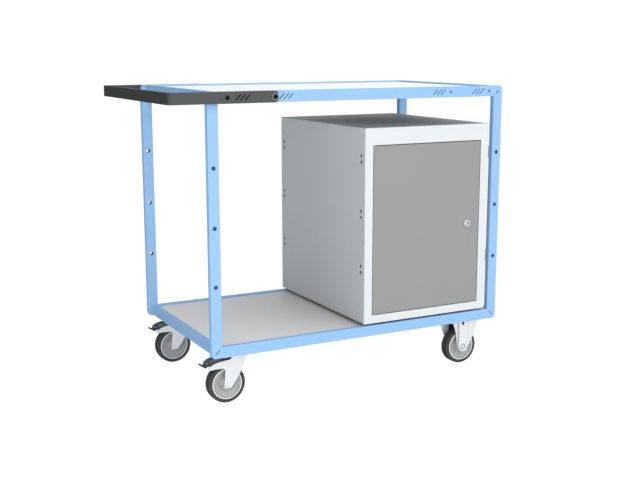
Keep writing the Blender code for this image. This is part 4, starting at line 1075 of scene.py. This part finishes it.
def plate_bolts(centre, top, spread_x, spread_y):
    """Four hexagon bolt heads under a top plate."""
    bm = bmesh.new()
    for across in (-1, 1):
        for side in (-1, 1):
            spot = (centre.x + across * spread_x, centre.y + side * spread_y, top)
            gather(bm, hexagon(0.013, spot, (0, 0, -1), -0.0004, 0.0055, 0.0006))
    return bm


class WORKBENCH_OT_swivel_casters(bpy.types.Operator):
    """Build the two swivel casters with their brakes"""

    bl_idname = "workbench.swivel_casters"
    bl_label = "Build Swivel Casters"

    def execute(self, context):
        sizes = context.scene.workbench.casters
        for end in ("front", "rear"):
            tag = f"{end}_left"
            build_wheel(tag, sizes)
            build_axle(tag)
            self.plate(tag)
            self.fork(tag, sizes)
            self.pedal(tag, sizes)
        return {"FINISHED"}

    def plate(self, tag):
        """Top plate with rounded corners, ball race, kingpin and bolt heads."""
        low, high = span(f"{tag}_caster_plate")
        centre = (low + high) / 2
        under = high.z - PLATE_SHEET
        bm = top_plate((low.x, low.y, under), high)
        race_low = under - 0.0087
        neck = low.z + 0.007
        race = [(0, under + 0.001), (0.0285, under + 0.001), (0.0285, under - 0.0020),
                (0.0270, under - 0.0040), (0.0262, under - 0.0048), (0.0275, under - 0.0056),
                (0.0280, race_low + 0.0006), (0.0274, race_low), (0.0060, race_low), (0.0060, neck),
                (0, neck)]
        bm = carve(bm, turned(race, (centre.x, centre.y, 0), (0, 0, 1), 48), "UNION")
        nut = hexagon(0.0185, (centre.x, centre.y, low.z), (0, 0, 1), 0.0, 0.0072)
        bm = carve(bm, nut, "UNION")
        gather(bm, plate_bolts(centre, under, 0.051, 0.032))
        finish_piece(f"{tag}_top_plate", bm, "frame", "zinc", [f"{tag}_caster_plate"])

    def fork(self, tag, sizes):
        """Pressed fork: a bent shell with an open back, cut to the side outline of legs and arms."""
        axle = axle_of(tag)
        crown = span(f"{tag}_fork")[1].z
        top = (crown - axle.z) / MM
        half = 0.0235
        low_y = axle.y - half
        high_y = axle.y + half
        sheet = sizes.fork_sheet
        side = [(-13, -12, 2.5), (12, -12, 2.5), (40, 28, 6), (63, 80, 4), (64, top, 0), (14, top, 0),
                (12, 81.5, 3), (-16, 79, 10), (-41, 75, 9), (-57, 67.5, 7), (-68.5, 57.5, 2.2),
                (-65.5, 53.5, 2.2), (-40, 55.5, 8), (-7.5, 53.5, 9)]
        body = outlined(beside(axle, side), "Y", low_y, high_y)
        front = [edge for edge in side_creases(body)
                 if min(vert.co.z - axle.z for vert in edge.verts) > 27 * MM
                 and min(vert.co.x - axle.x for vert in edge.verts) > 37 * MM and not at(edge, 2, crown)]
        round_off(body, front, sizes.fork_front, 5)
        round_off(body, [edge for edge in side_creases(body) if at(edge, 2, crown)], sizes.fork_shoulder, 4)
        rims = [edge for edge in creases(body, 50) if at(edge, 1, low_y) or at(edge, 1, high_y)]
        round_off(body, rims, sizes.fork_edge, 3)
        inside = [(-90, -40, 0), (-10.8, -40, 0), (8.8, -12, 0), (36.8, 28, 6), (59.8, 80, 4),
                  (60.5, top - 3, 3), (-90, top - 3, 0)]
        hollow = outlined(beside(axle, inside), "Y", low_y + sheet, high_y - sheet)
        front = [edge for edge in side_creases(hollow)
                 if min(vert.co.x - axle.x for vert in edge.verts) > 34 * MM and not along(edge, 0)]
        round_off(hollow, front, sizes.fork_front - sheet, 5)
        body = carve(body, hollow)
        clear = rod(0.0665, low_y + sheet - axle.y, high_y - sheet - axle.y, axle, (0, 1, 0), 64)
        body = carve(body, clear)
        plate_low, plate_high = span(f"{tag}_caster_plate")
        king = Vector(((plate_low.x + plate_high.x) / 2, axle.y, crown))
        body = carve(body, rod(0.0066, -0.02, 0.01, king, (0, 0, 1)))
        finish_piece(f"{tag}_fork_shell", body, fork_body(tag), "zinc", [f"{tag}_fork"])

    def pedal(self, tag, sizes):
        """Brake pedal with grooves across its tread, a boss at its end, black ends and the release tab."""
        axle = axle_of(tag)
        outline = [(6, 75, 2.5), (6, 80, 2.5), (-33, 86, 6), (-49, 85.5, 5), (-63, 79.5, 4), (-70, 74, 3),
                   (-69.5, 67.5, 3), (-63, 64, 3), (-56, 62.5, 3), (-30, 68, 4), (0, 69, 2.5)]
        body = outlined(beside(axle, outline), "Y", axle.y - 0.017, axle.y + 0.017)
        for start, share in ((44, 0.80), (60, 0.66)):
            narrow = [vert for vert in body.verts if vert.co.x < axle.x - start * MM]
            bmesh.ops.scale(body, vec=(1, share, 1), space=Matrix.Translation((0, -axle.y, 0)), verts=narrow)
        round_off(body, side_creases(body), sizes.pedal_edge * 0.6, 3)
        centre = Vector((axle.x - 66.5 * MM, axle.y, axle.z + 74.5 * MM))
        boss = [(0, -0.0134), (0.0042, -0.0134), (0.0048, -0.0128), (0.0058, -0.0128), (0.0066, -0.0146),
                (0.0084, -0.0150), (0.0092, -0.0142), (0.0094, -0.0030), (0, -0.0030)]
        body = carve(body, turned(boss, centre, (0, 1, 0), 40), "UNION")
        grooves = bmesh.new()
        for step in range(5):
            x = axle.x - (28 + 5 * step) * MM
            z = axle.z + 88 * MM
            low = (x - 0.0011, axle.y - 0.0105, z - 0.0035)
            high = (x + 0.0011, axle.y + 0.0105, z + 0.0035)
            gather(grooves, slab(low, high))
        body = carve(body, grooves)
        pivot = (axle.x + 8 * MM, axle.y, axle.z + 71 * MM)
        body = carve(body, rod(0.0030, -0.0232, 0.0232, pivot, (0, 1, 0), 24), "UNION")
        outline = [(-86.8, 69.4, 1.0), (-84.6, 73.8, 1.0), (-74.0, 67.0, 1.0), (-64.0, 68.0, 0),
                   (-62.0, 62.0, 0), (-70.0, 58.6, 1.5)]
        tab = outlined(beside(axle, outline), "Y", axle.y - 0.0100, axle.y + 0.0100)
        round_off(tab, side_creases(tab), 0.0006, 2)
        body = carve(body, tab, "UNION")
        tread_end = axle.x - 16 * MM
        bmesh.ops.bisect_plane(body, geom=body.verts[:] + body.edges[:] + body.faces[:],
                               plane_co=(tread_end, 0, 0), plane_no=(1, 0, 0))
        for face in body.faces:
            spot = face.calc_center_median()
            across = (spot.x - axle.x) / MM
            up = (spot.z - axle.z) / MM
            spread = ((spot - centre) * Vector((1, 0, 1))).length
            on_boss = 0.0044 < spread < 0.0098 and abs(spot.y - axle.y) > 0.0127
            on_tab = across < -79 or (across < -64 and up < 67.4)
            if on_boss or on_tab or spot.x > tread_end:
                face.material_index = 1
        finishes = ["pedal_plastic", "black_plastic"]
        nodes = [f"{tag}_brake_pedal"]
        finish_piece(f"{tag}_pedal_lever", body, f"{tag}_pedal", "black_plastic", nodes, finishes)


class WORKBENCH_OT_fixed_casters(bpy.types.Operator):
    """Build the two fixed casters"""

    bl_idname = "workbench.fixed_casters"
    bl_label = "Build Fixed Casters"

    def execute(self, context):
        sizes = context.scene.workbench.casters
        for end in ("front", "rear"):
            tag = f"{end}_right"
            build_wheel(tag, sizes)
            build_axle(tag)
            self.fork(tag, sizes)
        return {"FINISHED"}

    def leg(self, axle, facing, under, sizes):
        """One leg: a plate with a raised channel, a hole and its nut's seat; facing is -1 on the -Y side."""
        sheet = 0.0026
        hand = -facing
        rise = (under - axle.z) / MM
        inner = axle.y + facing * 0.0196
        plate = inner + facing * sheet
        outer = plate + facing * sizes.leg_step
        roof = outer - facing * sheet

        def softened(solid, end):
            """Round the rim of the face that lies at end."""
            rim = [edge for edge in rim_at(solid, 1, end, 25) if not at(edge, 2, under)]
            return round_off(solid, rim, sizes.fork_edge * 0.5, 3)

        def leaned(corners, begin, end):
            """Thicken an outline and lean its right-hand wall back toward the end."""
            solid = outlined(beside(axle, corners, hand), "Y", *sorted((begin, end)))
            far = [vert for vert in solid.verts
                   if abs(vert.co.y - end) < 1e-6 and hand * (vert.co.x - axle.x) > 20 * MM]
            bmesh.ops.translate(solid, vec=(-hand * 0.014, 0, 0), verts=far)
            return solid

        outline = [(-42, rise, 0), (-26, 51, 14), (-19, -5, 8), (-7, -18, 8), (15, -19, 11), (37, 11, 10),
                   (47, 33, 12), (66.5, rise - 13, 3), (69, rise, 0)]
        body = softened(outlined(beside(axle, outline, hand), "Y", *sorted((inner, plate))), plate)
        channel = leaned([(-16, rise, 0), (-16, -3, 3), (-7, -18.5, 8), (13, -18.5, 9), (28, 4, 6),
                          (34, 30, 8), (34, rise, 0)], inner, outer)
        body = carve(body, softened(channel, outer), "UNION")
        recess = leaned([(-13.2, 18, 4), (24, 18, 3), (31, 32, 4), (31, rise - 4, 0), (-13.2, rise - 4, 0)],
                        inner - facing * 0.001, roof)
        body = carve(body, recess)
        bowl = turned([(0, 0), (0.0098, 0), (0.0122, 0.008), (0, 0.008)],
                      (axle.x, axle.y + facing * 0.0235, axle.z), (0, facing, 0), 40)
        body = carve(body, bowl)
        outline = [(-4.6, rise - 20, 4.0), (4.6, rise - 20, 4.0), (5.0, rise - 6, 0.8), (-5.0, rise - 6, 0.8)]
        ends = sorted((roof + facing * 0.0006, outer + facing * 0.01))
        body = carve(body, outlined(beside(axle, outline, hand), "Y", *ends))
        # Painted shade: the faces inside the channel's recess and inside the hole get the dark hole-shade
        # finish.
        shallow = abs(inner - axle.y) + 1e-5
        deep = abs(roof - axle.y) + 1e-5
        proud = abs(outer - axle.y) - 1e-4
        heart = Vector((hand * 8 * MM, inner - axle.y, 60 * MM))
        for face in body.faces:
            spot = face.calc_center_median() - axle
            across = hand * spot.x / MM
            up = spot.z / MM
            boxed = -13.4 < across < 31 and 17.8 < up < rise - 3.9
            in_recess = boxed and shallow < abs(spot.y) < deep and face.normal.dot(heart - spot) > 0
            in_hole = abs(across) < 5.2 and up > rise - 20.2 and deep < abs(spot.y) < proud
            if in_recess or in_hole:
                face.material_index = 1
        return body

    def fork(self, tag, sizes):
        """Pressed fork whose two legs are turned images of each other, with its web and top plate."""
        axle = axle_of(tag)
        top = span(f"{tag}_fork")[1].z
        under = top - PLATE_SHEET
        body = top_plate((axle.x - 0.0696, axle.y - 0.0425, under), (axle.x + 0.0696, axle.y + 0.0425, top))
        web = slab((axle.x - 0.040, axle.y - 0.0225, under - sizes.fork_sheet),
                   (axle.x + 0.040, axle.y + 0.0225, under + 0.001))
        body = carve(body, web, "UNION")
        for facing in (-1, 1):
            body = carve(body, self.leg(axle, facing, under + 0.0008, sizes), "UNION")
        gather(body, plate_bolts(axle, under, 0.051, 0.033))
        nodes = [f"{tag}_fork"]
        finish_piece(f"{tag}_fork_shell", body, fork_body(tag), "zinc", nodes, ["zinc", "hollow_shade"])


# Stage

CAMERA_PLACE = (-1.6120, -3.1513, 1.1145)
CAMERA_TILT = 78.90
CAMERA_TURN = -27.96
JUST_WHITE = 1.06


def area_light(name, place, target, size, power):
    """A large soft light that faces a target and isn't seen itself."""
    lamp = bpy.data.lights.new(name, "AREA")
    lamp.shape = "RECTANGLE"
    lamp.size = size[0]
    lamp.size_y = size[1]
    lamp.energy = power
    thing = bpy.data.objects.new(name, lamp)
    thing.location = place
    thing.rotation_euler = (Vector(target) - Vector(place)).to_track_quat("-Z", "Y").to_euler()
    thing.visible_camera = False
    bpy.context.scene.collection.objects.link(thing)
    return thing


def split_for_camera(tree, others, camera, output):
    """Show one shader to the camera and another to all other rays."""
    path = tree.nodes.new("ShaderNodeLightPath")
    mix = tree.nodes.new("ShaderNodeMixShader")
    tree.links.new(path.outputs["Is Camera Ray"], mix.inputs["Fac"])
    tree.links.new(others, mix.inputs[1])
    tree.links.new(camera, mix.inputs[2])
    tree.links.new(mix.outputs["Shader"], tree.nodes[output].inputs["Surface"])


class WORKBENCH_OT_stage(bpy.types.Operator):
    """Set up the camera, the floor and the studio light"""

    bl_idname = "workbench.stage"
    bl_label = "Set Up Stage"

    def execute(self, context):
        look = context.scene.workbench.stage
        lens = bpy.data.cameras.new("studio_camera")
        lens.lens = look.lens
        lens.sensor_width = 36.0
        lens.clip_end = 100.0
        camera = bpy.data.objects.new("studio_camera", lens)
        camera.location = CAMERA_PLACE
        camera.rotation_euler = (math.radians(CAMERA_TILT), 0.0, math.radians(CAMERA_TURN))
        context.scene.collection.objects.link(camera)
        context.scene.camera = camera
        floor = bmesh.new()
        bmesh.ops.create_grid(floor, x_segments=1, y_segments=1, size=12.0)
        mesh = bpy.data.meshes.new("studio_floor")
        floor.to_mesh(mesh)
        floor.free()
        mesh.materials.append(self.paper(look.floor))
        ground = bpy.data.objects.new("studio_floor", mesh)
        context.scene.collection.objects.link(ground)
        ground.visible_glossy = False
        self.sky(context, look.sky_front, look.sky_rear)
        area_light("key_light", (0.1, -2.5, 1.15), (0.1, 0.0, 0.58), (3.8, 2.1), look.key)
        area_light("top_light", (0.0, -0.6, 3.4), (0.0, 0.0, 0.5), (3.2, 2.4), look.top)
        area_light("side_light", (-2.9, -1.8, 1.0), (0.0, 0.0, 0.6), (0.7, 1.6), look.side)
        area_light("low_light", (0.4, -1.2, 0.01), (0.4, -1.1, 1.0), (3.2, 1.6), look.low)
        area_light("left_light", (-1.9, -0.9, 0.22), (-0.4, 0.25, 0.16), (1.0, 0.36), look.left)
        area_light("fill_light", (2.0, 3.2, 3.0), (0.2, 0.0, 0.5), (3.0, 2.0), look.fill)
        context.scene.view_settings.view_transform = "Standard"
        return {"FINISHED"}

    def paper(self, colour):
        """White floor paper that throws light back on the pieces and is just white in the picture."""
        finish = make_finish("floor_paper", colour, 0.9, 0.05, 0.01, 1.5, 200.0, 0.01, 0.00005, specular=0.0)
        tree = finish.node_tree
        glow = tree.nodes.new("ShaderNodeEmission")
        glow.inputs["Strength"].default_value = JUST_WHITE
        shader = tree.nodes["Principled BSDF"]
        split_for_camera(tree, shader.outputs["BSDF"], glow.outputs["Emission"], "Material Output")
        return finish

    def sky(self, context, front, rear):
        """Soft light that is stronger from the front right, with a white backdrop for the camera."""
        world = bpy.data.worlds.new("studio_world")
        context.scene.world = world
        world.use_nodes = True
        nodes = world.node_tree.nodes
        links = world.node_tree.links
        light = nodes["Background"]
        light.inputs["Color"].default_value = (0.98, 0.99, 1.0, 1.0)
        way = nodes.new("ShaderNodeTexCoord")
        toward = nodes.new("ShaderNodeVectorMath")
        toward.operation = "DOT_PRODUCT"
        toward.inputs[1].default_value = Vector((0.45, -0.85, 0.30)).normalized()
        strength = nodes.new("ShaderNodeMapRange")
        strength.inputs["From Min"].default_value = -0.8
        strength.inputs["From Max"].default_value = 0.8
        strength.inputs["To Min"].default_value = rear
        strength.inputs["To Max"].default_value = front
        links.new(way.outputs["Generated"], toward.inputs[0])
        links.new(toward.outputs["Value"], strength.inputs["Value"])
        links.new(strength.outputs["Result"], light.inputs["Strength"])
        backdrop = nodes.new("ShaderNodeBackground")
        backdrop.inputs["Color"].default_value = (1.0, 1.0, 1.0, 1.0)
        backdrop.inputs["Strength"].default_value = JUST_WHITE
        shaders = (light.outputs["Background"], backdrop.outputs["Background"])
        split_for_camera(world.node_tree, *shaders, "World Output")


OPERATORS = (
    WORKBENCH_OT_finishes,
    WORKBENCH_OT_rings,
    WORKBENCH_OT_end_rails,
    WORKBENCH_OT_boards,
    WORKBENCH_OT_handle,
    WORKBENCH_OT_cabinet,
    WORKBENCH_OT_door,
    WORKBENCH_OT_lock,
    WORKBENCH_OT_swivel_casters,
    WORKBENCH_OT_fixed_casters,
    WORKBENCH_OT_stage,
)


class WORKBENCH_PT_tools(bpy.types.Panel):
    """Panel that lists the workbench's operators and settings"""

    bl_label = "Workbench"
    bl_idname = "WORKBENCH_PT_tools"
    bl_space_type = "VIEW_3D"
    bl_region_type = "UI"
    bl_category = "Workbench"

    def draw(self, context):
        layout = self.layout
        for operator in OPERATORS:
            layout.operator(operator.bl_idname)
        settings = context.scene.workbench
        for group in (settings.tubes, settings.handle, settings.cabinet, settings.casters, settings.colours,
                      settings.stage):
            box = layout.box()
            for label in group.__annotations__:
                box.prop(group, label)


CLASSES = (TubeSizes, HandleSizes, CabinetSizes, CasterSizes, FinishColours, StageLook, WorkbenchSettings,
           *OPERATORS, WORKBENCH_PT_tools)


def register():
    """Register the classes and the settings."""
    for item in CLASSES:
        bpy.utils.register_class(item)
    bpy.types.Scene.workbench = PointerProperty(type=WorkbenchSettings)


def unregister():
    """Remove the settings and the classes."""
    del bpy.types.Scene.workbench
    for item in reversed(CLASSES):
        bpy.utils.unregister_class(item)


def main():
    """Build every piece and set the stage."""
    register()
    bpy.ops.workbench.finishes()
    bpy.ops.workbench.rings()
    bpy.ops.workbench.end_rails()
    bpy.ops.workbench.boards()
    bpy.ops.workbench.handle()
    bpy.ops.workbench.cabinet()
    bpy.ops.workbench.door()
    bpy.ops.workbench.lock()
    bpy.ops.workbench.swivel_casters()
    bpy.ops.workbench.fixed_casters()
    bpy.ops.workbench.stage()


if __name__ == "__main__":
    main()
